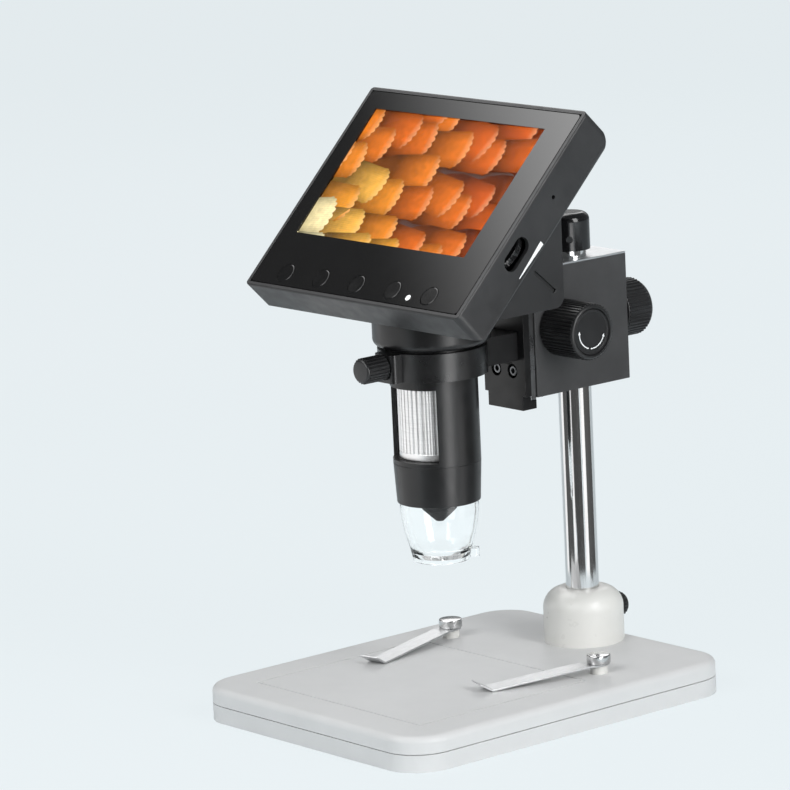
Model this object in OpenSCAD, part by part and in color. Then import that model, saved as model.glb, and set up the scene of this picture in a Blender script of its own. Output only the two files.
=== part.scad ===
// Bench microscope with a built-in display, on a weighted base with a pole and a focusing arm.
// Millimetres, +Z up. The origin is the middle of the base's underside; the user sits at -Y.

/* [Base] */
// Width of the base across the front
base_w = 126; // [116:1:160]
// Depth of the base from front to back
base_d = 156; // [150:1:200]
// Height of the base's flat top
base_h = 13; // [12:0.5:18]
// Plan radius of the base's corners
base_corner_r = 15; // [8:1:22]
// Rounding of the base's top edge
base_edge_r = 2.5; // [1:0.5:3.5]
// Wall of the base's two shells
base_wall = 1.8; // [1.4:0.1:2.2]
// Height of the lower shell
tray_h = 6.4; // [6:0.1:7.4]
// Gap that shows as a line between the two shells
base_seam = 0.3; // [0.2:0.1:0.6]
// Thickness of the steel ballast plate
ballast_t = 3.5; // [2:0.5:4]
// Diameter of the rubber feet
foot_d = 14; // [10:1:16]
// Width of the framed place for a specimen
stage_w = 94; // [80:1:96]
// Depth of the framed place for a specimen
stage_d = 81; // [60:1:90]

/* [Specimen clips] */
// Distance of each clip's post from the base's side
clip_inset = 21; // [17:1:25]
// Distance of the posts from the base's rear edge
clip_back = 48; // [44:1:54]
// Length of a clip from its post to its tip
clip_l = 50; // [40:1:56]
// Width of a clip
clip_w = 8; // [6:0.5:9]
// Thickness of a clip's spring steel
clip_t = 0.7; // [0.5:0.1:1]
// Height of the spacer under a clip
clip_post_h = 3.2; // [2.5:0.1:4.5]
// Inward turn of the left clip at rest
clip_left_turn = 11; // [0:1:25]
// Inward turn of the right clip at rest
clip_right_turn = 17; // [0:1:25]

/* [Pole] */
// Diameter of the pole
pole_d = 12.6; // [11:0.2:13]
// Wall of the pole's tube
pole_wall = 1; // [0.8:0.1:2]
// Distance of the pole behind the middle of the base
pole_y = 61; // [56:1:62]
// Height of the pole where its cap begins
pole_top = 164; // [163:1:200]
// Diameter of the pole's cap
pole_cap_d = 16; // [15:0.5:20]
// Height of the pole's cap
pole_cap_h = 14; // [10:1:18]
// Diameter of the collar that holds the pole
collar_d = 30.6; // [28:0.2:32]
// Height of the collar
collar_h = 20.6; // [18:0.2:26]

/* [Arm] */
// Height of the arm block's underside above the table
arm_z = 112.6; // [108:0.2:113]
// Width of the arm block
block_w = 20; // [19:0.5:26]
// Height of the arm block
block_h = 48.7; // [46:0.1:50]
// Reach of the arm block in front of the pole's axis
block_front = 27.55; // [27:0.05:30]
// Reach of the arm block behind the pole's axis
block_back = 19.5; // [16:0.5:26]
// Thickness of the plate on the arm block
plate_t = 0.8; // [0.5:0.1:1.5]
// Diameter of the focus and lock knobs
side_knob_d = 21.5; // [18:0.5:24]
// Length of the focus and lock knobs
side_knob_l = 17.7; // [12:0.1:22]
// Diameter of the knob that clamps the arm to the pole
clamp_knob_d = 22; // [18:0.5:26]
// Length of the knob that clamps the arm to the pole
clamp_knob_l = 13.7; // [10:0.1:18]

/* [Focus slide] */
// Module of the rack and pinion, tooth pitch divided by pi
tooth_module = 1; // [0.9:0.02:1.04]
// Teeth on the pinion
pinion_teeth = 13; // [12:1:13]
// Play between meshing teeth
backlash = 0.12; // [0.08:0.02:0.2]
// Width of the carriage
carriage_w = 19.5; // [18:0.5:22]
// Thickness of the carriage
carriage_t = 6.8; // [6.4:0.1:8]
// Height of the carriage
carriage_h = 40.4; // [38:0.2:41]
// Drop of the carriage below the arm block
carriage_drop = 4; // [1:0.5:6]
// Width of the dovetail at its narrow side
dove_w = 12.8; // [12.4:0.2:13.4]
// Depth of the dovetail
dove_depth = 4.5; // [4.2:0.1:4.6]
// Side clearance of the dovetail
slide_gap = 0.1; // [0.05:0.01:0.15]

/* [Holder] */
// Distance from the tube's axis to the carriage
reach = 34.6; // [34:0.1:38]
// Outer diameter of the holder ring
ring_d = 40.6; // [39:0.2:44]
// Height of the holder ring
ring_h = 10.5; // [9:0.5:12]
// Rise of the holder ring above the arm block's underside
ring_rise = 15.1; // [14:0.1:16]
// Wall of the sleeve inside the holder ring
sleeve_t = 1.1; // [0.8:0.1:1.4]
// Diameter of the holder's thumb screw knob
ring_knob_d = 9.8; // [8:0.2:11]
// Length of the holder's thumb screw knob
ring_knob_l = 10.6; // [7:0.2:14]

/* [Microscope tube] */
// Diameter of the tube
tube_d = 32.6; // [32:0.1:33]
// Wall of the tube
tube_wall = 1.8; // [1.4:0.1:2]
// Drop of the nose's end below the holder ring
nose_drop = 47.8; // [47:0.1:56]
// Diameter of the nose at its lower end
nose_d = 31; // [30.4:0.1:31.4]
// Height of the nose
nose_h = 15.1; // [14:0.1:15.6]
// Diameter of the neck below the display
neck_d = 43.8; // [42:0.2:48]
// Diameter of the focus wheel
wheel_d = 27.6; // [26.8:0.1:28]
// Ribs round the focus wheel
wheel_ribs = 40; // [24:2:48]
// Opening angle of the window over the focus wheel
window_angle = 104; // [80:2:120]
// Diameter of the lens barrel
barrel_d = 20.8; // [19:0.2:21]
// Drop of the clear cap below the nose
cap_drop = 22.6; // [18:0.2:24]
// Wall of the clear cap
cap_wall = 1.3; // [1:0.1:1.5]

/* [Display housing] */
// Width of the housing
screen_w = 120.7; // [118:0.1:140]
// Length of the housing along the glass
screen_l = 93.3; // [92:0.1:110]
// Thickness of the housing
screen_t = 17.2; // [16.8:0.1:20]
// Angle between the glass and the table
screen_tilt = 45; // [40:1:50]
// Wall of the housing
shell_wall = 1.8; // [1.4:0.1:2.2]
// Chamfer along the housing's upper rear edge
chamfer_top = 5.8; // [3:0.1:7]
// Chamfer along the housing's lower rear edge
chamfer_low = 4.2; // [2:0.1:4.2]
// Width of the rear cover
cover_w = 72.6; // [66:0.2:84]
// Thickness of the front glass
glass_t = 2; // [1.2:0.1:2.4]
// Margin of the housing on the left of the lit picture
picture_left = 9.85; // [9.4:0.05:14]
// Margin of the housing on the right of the lit picture
picture_right = 15.85; // [13:0.05:20]
// Margin of the housing above the lit picture
picture_above = 9.8; // [9.2:0.1:14]
// Margin of the housing below the lit picture
picture_below = 25.5; // [22:0.1:30]
// Diameter of a button
button_d = 8; // [6:0.2:9]
// Distance between neighbouring buttons
button_pitch = 20.3; // [16:0.1:21]
// Diameter of the brightness wheel
dial_d = 18; // [16:0.5:19]

/* [Fits] */
// Radial clearance of shafts, pins and sleeves that turn or slide
running_fit = 0.08; // [0.03:0.01:0.1]
// Clearance between knobs and what they stand next to
knob_gap = 0.3; // [0.2:0.05:0.6]

/* [Hidden] */

$fn = 64;
// Overlap of a cut past the face that it opens
cut = 1;

// Base
tray_top = tray_h;
cover_z = tray_top + base_seam;
base_screw_in = 12;
base_screw_x = base_w / 2 - base_screw_in;
base_screw_y = base_d / 2 - base_screw_in;
foot_side = 16;
foot_front = 34;
foot_x = base_w / 2 - foot_side;
foot_y = base_d / 2 - foot_front;
foot_floor = 0.8;
foot_t = base_wall - foot_floor;
stage_in = 16;
stage_front = -base_d / 2 + stage_in;
groove_w = 0.6;
groove_depth = 0.3;

// Fasteners: head and shank of the small screws
screw_r = 1.25;
screw_head_r = 2.6;
screw_head_h = 1.6;
screw_socket_h = 0.9;
screw_seat = 0.4;
thumb_r = 2;
knob_screw_r = 2.95;
seat_gap = 0.05;

// Clips
clip_x = base_w / 2 - clip_inset;
clip_y = base_d / 2 - clip_back;
clip_touch = 5;
clip_tip_rise = 3;
clip_rest_gap = 0.15;
clip_z = base_h + clip_post_h;
clip_post_r = 3.25;
clip_head_r = 4.45;
clip_head_h = 3.3;
clip_head_z = clip_z + clip_t + 2 * seat_gap;

// Pole and collar
pole_r = pole_d / 2;
pole_bore_r = pole_r + running_fit;
pole_foot_in = 1.6;
pole_foot_z = cover_z - pole_foot_in;
pole_cap_r = pole_cap_d / 2;
collar_r = collar_d / 2;
collar_side_h = collar_h / 2;
collar_rim = 1.3;
collar_dome_r = collar_r - pole_bore_r - collar_rim;
collar_screw_z = base_h + collar_side_h;
collar_fixing_r = (pole_bore_r + collar_r) / 2;
collar_knob_r = 4.6;
collar_knob_l = 4.4;

// Arm block
block_y0 = pole_y - block_front;
block_y1 = pole_y + block_back;
block_top = arm_z + block_h;
knob_rise = 24.9;
knob_z = arm_z + knob_rise;
side_knob_x = block_w / 2 + knob_gap;

// Rack and pinion
pinion_pitch_r = tooth_module * pinion_teeth / 2;
pinion_tip_r = pinion_pitch_r + 0.9 * tooth_module;
pinion_root_r = pinion_pitch_r - 0.95 * tooth_module;
pinion_base_r = pinion_pitch_r * cos(20);
pocket_gap = 0.4;
pocket_skin = 0.25;
pocket_r = pinion_tip_r + pocket_gap;
pinion_y = block_y0 + dove_depth + pocket_r + pocket_skin;
rack_y = pinion_y - pinion_pitch_r;
tooth_pitch = PI * tooth_module;
tooth_w = tooth_pitch / 2 - backlash;
rack_tip = 0.7 * tooth_module;
rack_root = 1.15 * tooth_module;
rack_w = 6;
rack_side_gap = 0.2;
pinion_w = rack_w - 2 * rack_side_gap;
pinion_shaft_r = 2.5;

// Focus slide
carriage_gap = 0.35;
carriage_back = block_y0 - carriage_gap;
carriage_y = carriage_back - carriage_t;
carriage_z = arm_z - carriage_drop;
carriage_top = carriage_z + carriage_h;
dove_flare = 1.6;
tongue_low = 3.4;
tongue_high = 8;
tongue_z0 = carriage_z + tongue_low;
tongue_z1 = carriage_top + tongue_high;
strip_in = 4;
strip_y = carriage_y + strip_in;
strip_depth = 1;
wing_side = 1.75;
wing_w = carriage_w + 2 * wing_side;
wing_t = 3;
wing_low = 5.4;
wing_z = carriage_z + wing_low;
carriage_screw_x = 4.5;
carriage_screw_rise = 14.6;
carriage_screw_z = carriage_z + carriage_screw_rise;

// Holder
tube_y = carriage_y - reach;
ring_z = arm_z + ring_rise;
ring_r = ring_d / 2;
tube_r = tube_d / 2;
sleeve_in_r = tube_r + running_fit;
sleeve_r = sleeve_in_r + sleeve_t;
ring_bore_r = sleeve_r + running_fit;
ring_screw_up = 0.6;
ring_screw_z = ring_z + ring_h / 2 + ring_screw_up;
lug_w = 11;
lug_out = 3.6;
lug_y = tube_y - ring_r - lug_out;
ring_knob_y = lug_y - knob_gap;
sleeve_rise = 0.7;
sleeve_top_gap = 0.1;

// Tube
nose_z = ring_z - nose_drop;
nose_top = nose_z + nose_h;
nose_r = nose_d / 2;
neck_z = ring_z + ring_h + sleeve_rise + sleeve_top_gap;
neck_r = neck_d / 2;
neck_h = 12.1;
cover_z0 = neck_z + neck_h;
tube_in_r = tube_r - tube_wall;
wheel_r = wheel_d / 2;
wheel_above_nose = 2;
wheel_below_ring = 4;
window_gap = 0.3;
wheel_z0 = nose_top + wheel_above_nose;
wheel_z1 = ring_z - wheel_below_ring;
window_z0 = wheel_z0 - window_gap;
window_z1 = wheel_z1 + window_gap;
barrel_r = barrel_d / 2;
barrel_bore_r = barrel_r + running_fit;
barrel_in_nose = 5;
barrel_below_wheel = 5;
barrel_z0 = nose_top - barrel_in_nose;
barrel_z1 = wheel_z1 - barrel_below_wheel;
sensor_rise = 3.2;
sensor_z = wheel_z1 + sensor_rise;

// Light ring and clear cap
nose_lip = 0.9;
cap_r = nose_r - nose_lip;
socket_r = cap_r + running_fit;
cap_plug_h = 4;
web_rise = 4.6;
web_z = nose_z + web_rise;
web_t = 1.6;
led_cover_gap = 0.3;
led_cover_r = cap_r - cap_wall - led_cover_gap;
cone_r = 6.5;
cone_tip_r = 1.8;
led_count = 8;
led_r = 1.4;
led_in = 0.2;
led_ring_r = (cone_r + led_cover_r) / 2 - led_in;
cap_end_r = 10.85;

// Display housing: its lower front edge, and the plane behind it
screen_reach = 38.9;
screen_rise = 9.1;
cover_reach = 33.55;
screen_y = tube_y - screen_reach;
screen_z = cover_z0 + screen_rise;
cover_back = tube_y + cover_reach;
cover_r = 4.5;
cover_wall = 2;
side_r = 3;
front_r = 0.8;
glass_gap = 0.35;
glass_side_play = 0.1;
glass_w = screen_w - 2 * (shell_wall + glass_gap + glass_side_play);
glass_g0 = shell_wall + glass_gap;
glass_g1 = screen_l - shell_wall - glass_gap;
ledge_w = 1.6;
picture_w = screen_w - picture_left - picture_right;
picture_l = screen_l - picture_above - picture_below;
picture_x = (picture_left - picture_right) / 2;
picture_g = picture_below + picture_l / 2;
lcd_frame = 3.5;
lcd_t = 2.9;
lcd_n = -glass_t - lcd_t;
board_t = 1.6;
post_in = 4;
board_n = -9;
board_g0 = 5;
board_top_in = 9;
board_side_in = 9;
board_g1 = screen_l - board_top_in;
board_w = screen_w - 2 * board_side_in;
post_side_in = 1;
post_x = board_w / 2 - post_in - post_side_in;
button_left = 18.55;
button_x0 = -screen_w / 2 + button_left;
button_g = 7.6;
button_r = button_d / 2;
button_stem_r = 1.5;
switch_n = -5.6;
light_x = button_x0 + 3.5 * button_pitch;
light_g = 5.6;
light_r = 1.2;
dial_g = 34.1;
dial_n = -7.1;
dial_t = 2.4;
dial_r = dial_d / 2;
dial_in = 0.2;
dial_x = screen_w / 2 - dial_in - dial_r;
dial_slot_l = 14;
dial_slot_w = 6.7;
reset_below = 33.3;
reset_drop = 0.4;
reset_r = 0.8;
port_rise = 1.4;
port_n = board_n + port_rise;
battery_size = [52, 34, 7.5];
battery_g = 44;
cable_hole_r = 10;
post_r = 3;
post_hole_r = 1;
cover_screw_low = 19;
cover_screw_high = 23.3;
cover_screw_in = 4.5;
cover_boss_r = 3.2;
cover_boss_h = 8;
cover_slot_l = 13;
cover_slot_w = 1.6;
cover_slot_depth = 1;
cover_slot_back = 9.3;
cover_slot_up = 10.7;
ribbon_slot_w = 28;
ribbon_slot_l = 7;
ribbon_slot_top = 15;
switch_size = 6;
switch_up = 0.6;
port_wall = 0.4;
port_gap = 0.3;
button_ear = 0.8;
button_ear_l = 4;
button_ear_t = 0.8;
button_travel = 0.6;
dial_pin_r = 1.5;
lens_r = 6.5;
lock_rim = 2.2;
lock_face_r = side_knob_d / 2 - lock_rim;
lock_face_t = 0.5;
base_boss_r = 4.5;
neck_screw_out = 0.2;
neck_screw_r = (tube_d + neck_d) / 4 + neck_screw_out;

// Places of what repeats
base_screw_places = [for (x = [-1, 1], y = [-1, 1]) [x * base_screw_x, y * base_screw_y, 0]];
foot_places = [for (x = [-1, 1], y = [-1, 1]) [x * foot_x, y * foot_y, 0]];
clip_places = [[-clip_x, clip_y, 0], [clip_x, clip_y, 0]];
collar_fixing_places = [for (x = [-1, 1]) [x * collar_fixing_r, pole_y, 0]];
carriage_screw_places = [for (x = [-1, 1]) [x * carriage_screw_x, carriage_y, carriage_screw_z]];
neck_screw_places = [for (a = [30, 150, 270])
    [neck_screw_r * cos(a), tube_y + neck_screw_r * sin(a), 0]];
board_posts = [for (x = [-1, 1], g = [board_g0 + post_in, board_g1 - post_in]) [x * post_x, g, 0]];
cover_screw_places = [for (x = [-1, 1], g = [cover_screw_low, screen_l - cover_screw_high])
    [x * (cover_w / 2 - cover_screw_in), g, 0]];
button_places = [for (i = [0:4]) [button_x0 + i * button_pitch, button_g, 0]];
// Ports on the left side: start and width along the glass, and height
port_slots = [[24, 7.6, 2.7], [44, 12, 1.8]];

// ---------- Shapes used by several pieces ----------

// What a convex corner at the origin loses when it is rounded with radius r
module corner_cut(r) {
    difference() {
        translate([-cut, -cut]) square(r + cut);
        translate([r, r]) circle(r);
    }
}

// Rectangle with its own radius at the lower left, lower right, upper right and upper left
module rounded_rect(x0, y0, x1, y1, radii) {
    corners = [[x0, y0], [x1, y0], [x1, y1], [x0, y1]];
    difference() {
        translate([x0, y0]) square([x1 - x0, y1 - y0]);
        for (i = [0:3])
            if (radii[i] > 0) translate(corners[i]) rotate(90 * i) corner_cut(radii[i]);
    }
}

// Plate with round corners in plan and a soft top edge, standing on z = 0
module soft_plate(w, d, r, h, edge) {
    soft = [0, 0, edge, edge];
    rotate([90, 0, 0]) linear_extrude(d - 2 * r, center = true) rounded_rect(-w / 2, 0, w / 2, h, soft);
    rotate([90, 0, 90]) linear_extrude(w - 2 * r, center = true) rounded_rect(-d / 2, 0, d / 2, h, soft);
    for (x = [-1, 1], y = [-1, 1])
        translate([x * (w / 2 - r), y * (d / 2 - r), 0])
            rotate_extrude() rounded_rect(0, 0, r, h, [0, 0, edge, 0]);
}

// Block between two corners
module span(low, high) {
    translate(low) cube(high - low);
}

// Ring between two heights
module ring(outer_r, inner_r, z0, z1) {
    translate([0, 0, z0])
        rotate_extrude() translate([inner_r, 0]) square([outer_r - inner_r, z1 - z0]);
}

// Round bar along +Z between two heights
module bar(r, z0, z1) {
    translate([0, 0, z0]) cylinder(r = r, h = z1 - z0);
}

// Turns +Z to +X, and +Z to +Y
module along_x() { rotate([90, 0, 90]) children(); }
module along_y() { rotate([-90, 0, 0]) children(); }

// Knob that stands on z = 0, with straight ribs and a smooth rounded far end
module ribbed_knob(r, h, ribs, depth, edge) {
    profile = [[r - depth, -0.3], [r, -0.16], [r, 0.16], [r - depth, 0.3]];
    linear_extrude(h - edge)
        polygon([for (i = [0:ribs - 1], p = profile)
            p[0] * [cos((i + p[1]) * 360 / ribs), sin((i + p[1]) * 360 / ribs)]]);
    rotate_extrude() rounded_rect(0, 0, r - depth, h, [0, 0, edge, 0]);
}

// Small screw: its head's seat is at z = 0 and its shank points up
module small_screw(length) {
    difference() {
        bar(screw_head_r, -screw_head_h, 0);
        translate([0, 0, -screw_head_h - cut]) cylinder(r = screw_r, h = cut + screw_socket_h, $fn = 6);
    }
    bar(screw_r, 0, length);
}

module at_each(places) {
    for (p = places) translate(p) children();
}

// ---------- Base ----------

module base_outline(inset) {
    r = base_corner_r - inset;
    w = base_w / 2 - inset;
    d = base_d / 2 - inset;
    rounded_rect(-w, -d, w, d, [r, r, r, r]);
}

module base_tray() {
    color("#e2e3e3") difference() {
        union() {
            linear_extrude(base_wall) base_outline(0);
            linear_extrude(tray_top) difference() {
                base_outline(0);
                base_outline(base_wall);
            }
            at_each(base_screw_places) bar(base_boss_r, 0, tray_top);
            translate([0, pole_y, 0]) bar(pole_r + 2, 0, pole_foot_z - seat_gap);
        }
        at_each(foot_places) bar(foot_d / 2 + seat_gap, -cut, foot_t);
        at_each(base_screw_places) {
            bar(screw_r + seat_gap, -cut, tray_top + cut);
            bar(screw_head_r + 0.2, -cut, screw_head_h + screw_seat);
        }
    }
}

module base_cover() {
    color("#dcdddd") difference() {
        union() {
            difference() {
                translate([0, 0, cover_z])
                    soft_plate(base_w, base_d, base_corner_r, base_h - cover_z, base_edge_r);
                translate([0, 0, cover_z - cut])
                    linear_extrude(base_h - cover_z + cut - base_wall) base_outline(base_edge_r + 0.4);
            }
            at_each(base_screw_places) bar(base_boss_r, cover_z, base_h - cut);
            at_each(clip_places) bar(base_boss_r, cover_z, base_h - cut);
        }
        translate([0, pole_y, 0]) bar(pole_bore_r, cover_z - cut, base_h + cut);
        at_each(base_screw_places) bar(screw_r + seat_gap, cover_z - cut, base_h - base_wall);
        at_each(clip_places) bar(thumb_r + seat_gap, base_h - 5, base_h + cut);
        at_each(collar_fixing_places) bar(screw_r + seat_gap, cover_z, base_h + cut);
        translate([0, 0, base_h - groove_depth]) linear_extrude(groove_depth + cut) difference() {
            translate([-stage_w / 2, stage_front]) square([stage_w, stage_d]);
            translate([-stage_w / 2 + groove_w, stage_front + groove_w])
                square([stage_w - 2 * groove_w, stage_d - 2 * groove_w]);
        }
    }
}

module base_ballast() {
    w = base_screw_x - base_boss_r - 2;
    color("#7d8084")
        span([-w, -base_screw_y, base_wall], [w, pole_y - pole_r - 8, base_wall + ballast_t]);
}

module base_feet() {
    color("#2b2b2c") at_each(foot_places) bar(foot_d / 2, 0, foot_t);
}

module base_screws() {
    color("#9a9da0") at_each(base_screw_places)
        translate([0, 0, screw_head_h + screw_seat]) small_screw(base_h - base_wall - screw_head_h - 1);
}

// ---------- Collar and pole ----------

module pole_collar() {
    color("#ecebe6") translate([0, pole_y, base_h]) difference() {
        rotate_extrude() rounded_rect(pole_bore_r, 0, collar_r, collar_h, [0, 0, collar_dome_r, 0]);
        translate([0, 0, collar_side_h]) along_y() cylinder(r = thumb_r + running_fit, h = collar_r + cut);
        for (x = [-1, 1])
            translate([x * collar_fixing_r, 0, 0]) bar(screw_r + seat_gap, -cut, 7.5);
    }
}

module collar_fixings() {
    color("#9a9da0") at_each(collar_fixing_places)
        translate([0, 0, base_h - base_wall]) small_screw(base_wall + 6.5);
}

module collar_knob() {
    color("#222223") translate([0, pole_y + collar_r + knob_gap, collar_screw_z]) along_y() difference() {
        ribbed_knob(collar_knob_r, collar_knob_l, 20, 0.4, 1);
        bar(thumb_r, -cut, collar_knob_l - 1.2);
    }
}

module collar_screw() {
    color("#b9bbbd") translate([0, pole_y, collar_screw_z]) along_y()
        bar(thumb_r, pole_r + 0.2, collar_r + knob_gap + collar_knob_l - 1.2);
}

module pole() {
    color("#c9ccce") translate([0, pole_y, 0])
        ring(pole_r, pole_r - pole_wall, pole_foot_z, pole_top + pole_cap_h - 4);
}

module pole_cap() {
    color("#151516") translate([0, pole_y, pole_top]) difference() {
        rotate_extrude() rounded_rect(0, 0, pole_cap_r, pole_cap_h, [0, 0, 3, 0]);
        bar(pole_r, -cut, pole_cap_h - 4);
        rotate([0, 0, -40]) translate([0, 0, 4.5]) along_x() bar(1.3, pole_cap_r - 0.7, pole_cap_r + cut);
    }
}

// ---------- Specimen clips ----------

module clip_posts() {
    color("#e8e8e8") at_each(clip_places) ring(clip_post_r, thumb_r + seat_gap, base_h, clip_z);
}

module clip_screws() {
    color("#d4d6d8") at_each(clip_places) {
        translate([0, 0, clip_head_z]) rotate_extrude()
            rounded_rect(0, 0, clip_head_r, clip_head_h, [0, 0, 0.8, 0]);
        bar(thumb_r, base_h - 4.5, clip_head_z);
    }
}

// Spring strip: a flat end round the post, a slope down to the base and a tip that turns up
module clip_strip() {
    low = base_h + clip_rest_gap;
    tip_z = low + clip_tip_rise;
    bend = clip_w * 0.8;
    touch = clip_l - clip_touch;
    top = clip_z + seat_gap;
    side = [[0, top], [bend, top], [touch, low], [clip_l, tip_z],
        [clip_l, tip_z + clip_t], [touch, low + clip_t], [bend, top + clip_t], [0, top + clip_t]];
    difference() {
        union() {
            rotate([90, 0, -90]) linear_extrude(clip_w, center = true) polygon(side);
            bar(clip_w / 2, top, top + clip_t);
        }
        bar(thumb_r + running_fit, base_h, clip_z + 2 * clip_t);
    }
}

module clip_left() {
    color("#b4b6b8") translate([-clip_x, clip_y, 0]) rotate([0, 0, clip_left_turn]) clip_strip();
}

module clip_right() {
    color("#b4b6b8") translate([clip_x, clip_y, 0]) rotate([0, 0, -clip_right_turn]) clip_strip();
}

// ---------- Arm block ----------

// Cross-section of the dovetail, its narrow side on y = 0; grow widens it on every face
module dovetail(grow) {
    half = dove_w / 2 + grow;
    wide = half + dove_flare;
    polygon([[-half, -cut], [half, -cut], [half, 0], [wide, dove_depth + grow],
        [-wide, dove_depth + grow], [-half, 0]]);
}

// Slot in the block's front for the dovetail and the rack behind it
module slide_slot(z0, z1) {
    translate([0, block_y0, z0]) linear_extrude(z1 - z0) {
        dovetail(slide_gap);
        translate([-rack_w / 2 - 0.4, 0]) square([rack_w + 0.8, rack_y - block_y0 + rack_tip + 0.6]);
    }
}

module block_outline() {
    rounded_rect(-block_w / 2, block_y0, block_w / 2, block_y1, [0.5, 0.5, 0.5, 0.5]);
}

module arm_block() {
    color("#464647") difference() {
        translate([0, 0, arm_z]) linear_extrude(block_h - plate_t) block_outline();
        translate([0, pole_y, 0]) bar(pole_bore_r, arm_z - cut, block_top);
        slide_slot(arm_z - cut, block_top);
        translate([0, pinion_y, knob_z]) along_x() {
            bar(pocket_r, -block_w / 2 - cut, pinion_w / 2 + 0.5);
            bar(knob_screw_r + running_fit, 0, block_w / 2 + cut);
        }
        translate([0, pole_y, knob_z]) along_y() bar(knob_screw_r + running_fit, 0, block_back + cut);
    }
}

module arm_top_plate() {
    color("#d9dbdc") difference() {
        translate([0, 0, block_top - plate_t]) linear_extrude(plate_t) block_outline();
        translate([0, pole_y, 0]) bar(pole_bore_r, arm_z, block_top + cut);
        slide_slot(arm_z, block_top + cut);
    }
}

module clamp_knob() {
    color("#1c1c1d") translate([0, block_y1 + knob_gap, knob_z]) along_y() difference() {
        ribbed_knob(clamp_knob_d / 2, clamp_knob_l, 44, 0.5, 3);
        bar(knob_screw_r, -cut, clamp_knob_l - 3);
    }
}

module clamp_screw() {
    color("#b9bbbd") translate([0, pole_y, knob_z]) along_y()
        bar(knob_screw_r, pole_r + 0.2, block_back + knob_gap + clamp_knob_l - 3);
}

// ---------- Focus drive ----------

function involute(a) = tan(a) - a * PI / 180;

// Half of a pinion tooth's angle at radius r
function tooth_half(r) = (tooth_w / (2 * pinion_pitch_r) + involute(20)
    - involute(acos(min(1, pinion_base_r / r)))) * 180 / PI;

function polar(r, a) = [r * cos(a), r * sin(a)];

// One tooth's outline, from its root over its tip and back
function pinion_tooth(at) = let (
    radii = [pinion_root_r, pinion_base_r, (pinion_base_r + pinion_pitch_r) / 2, pinion_pitch_r,
        (pinion_pitch_r + pinion_tip_r) / 2, pinion_tip_r])
    concat([for (i = [0:5]) polar(radii[i], at - tooth_half(max(radii[i], pinion_base_r)))],
        [for (i = [5:-1:0]) polar(radii[i], at + tooth_half(max(radii[i], pinion_base_r)))]);

module pinion_shaft() {
    color("#c2b280") translate([0, pinion_y, knob_z]) along_x() {
        translate([0, 0, -pinion_w / 2]) linear_extrude(pinion_w)
            polygon([for (i = [0:pinion_teeth - 1])
                each pinion_tooth(180 + (i + 0.5) * 360 / pinion_teeth)]);
        bar(pinion_shaft_r, -side_knob_x - side_knob_l + 3, pinion_w / 2 + 0.3);
    }
}

module pinion_bush() {
    color("#c9a24a") translate([0, pinion_y, knob_z]) along_x()
        ring(pocket_r, pinion_shaft_r + running_fit, -block_w / 2, -pinion_w / 2 - 0.3);
}

module focus_knob() {
    color("#1c1c1d") translate([-side_knob_x, pinion_y, knob_z]) mirror([1, 0, 0]) along_x() difference() {
        ribbed_knob(side_knob_d / 2, side_knob_l, 44, 0.45, 1.2);
        bar(pinion_shaft_r, -cut, side_knob_l - 3);
    }
}

module lock_knob() {
    color("#262627") translate([side_knob_x, pinion_y, knob_z]) along_x() difference() {
        ribbed_knob(side_knob_d / 2, side_knob_l, 44, 0.45, 1.2);
        bar(knob_screw_r, -cut, side_knob_l - 3);
        bar(lock_face_r, side_knob_l - 0.9, side_knob_l + cut);
    }
}

module lock_knob_face() {
    color("#2e2e2f") translate([side_knob_x, pinion_y, knob_z]) along_x()
        bar(lock_face_r, side_knob_l - 0.9, side_knob_l - 0.9 + lock_face_t);
}

module lock_screw() {
    color("#b9bbbd") translate([0, pinion_y, knob_z]) along_x()
        bar(knob_screw_r, pinion_w / 2 + 0.6, side_knob_x + side_knob_l - 3);
}

// ---------- Focus slide ----------

module slide_carriage() {
    color("#262627") difference() {
        union() {
            span([-carriage_w / 2, carriage_y, carriage_z], [carriage_w / 2, carriage_back, carriage_top]);
            span([-wing_w / 2, carriage_y, wing_z], [wing_w / 2, carriage_y + wing_t, carriage_top]);
        }
        for (x = [-1, 1])
            translate([x * carriage_w / 2, 0, 0])
                span([-strip_depth, strip_y, tongue_z0],
                    [strip_depth, carriage_back + cut, carriage_top + cut]);
        at_each(carriage_screw_places) along_y() {
            bar(screw_head_r + 0.1, -cut, screw_head_h + 0.3);
            bar(screw_r + seat_gap, 0, carriage_t + cut);
        }
    }
}

module slide_strips() {
    color("#b9bbbd") for (x = [-1, 1])
        translate([x * (carriage_w / 2 - strip_depth / 2), 0, 0])
            span([-strip_depth / 2, strip_y, tongue_z0], [strip_depth / 2, carriage_back, carriage_top]);
}

module dovetail_tongue() {
    color("#3a3a3b") difference() {
        union() {
            translate([0, block_y0, tongue_z0]) linear_extrude(tongue_z1 - tongue_z0) intersection() {
                dovetail(0);
                translate([-block_w, 0]) square([2 * block_w, dove_depth]);
            }
            span([-dove_w / 2, carriage_back, tongue_z0], [dove_w / 2, block_y0, tongue_z1]);
        }
        span([-rack_w / 2, rack_y - rack_root - 2.5, tongue_z0 - cut],
            [rack_w / 2, block_y0 + dove_depth + cut, tongue_z1 + cut]);
        at_each(carriage_screw_places) along_y() bar(screw_r + seat_gap, 0, carriage_t + 4.5);
    }
}

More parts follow.
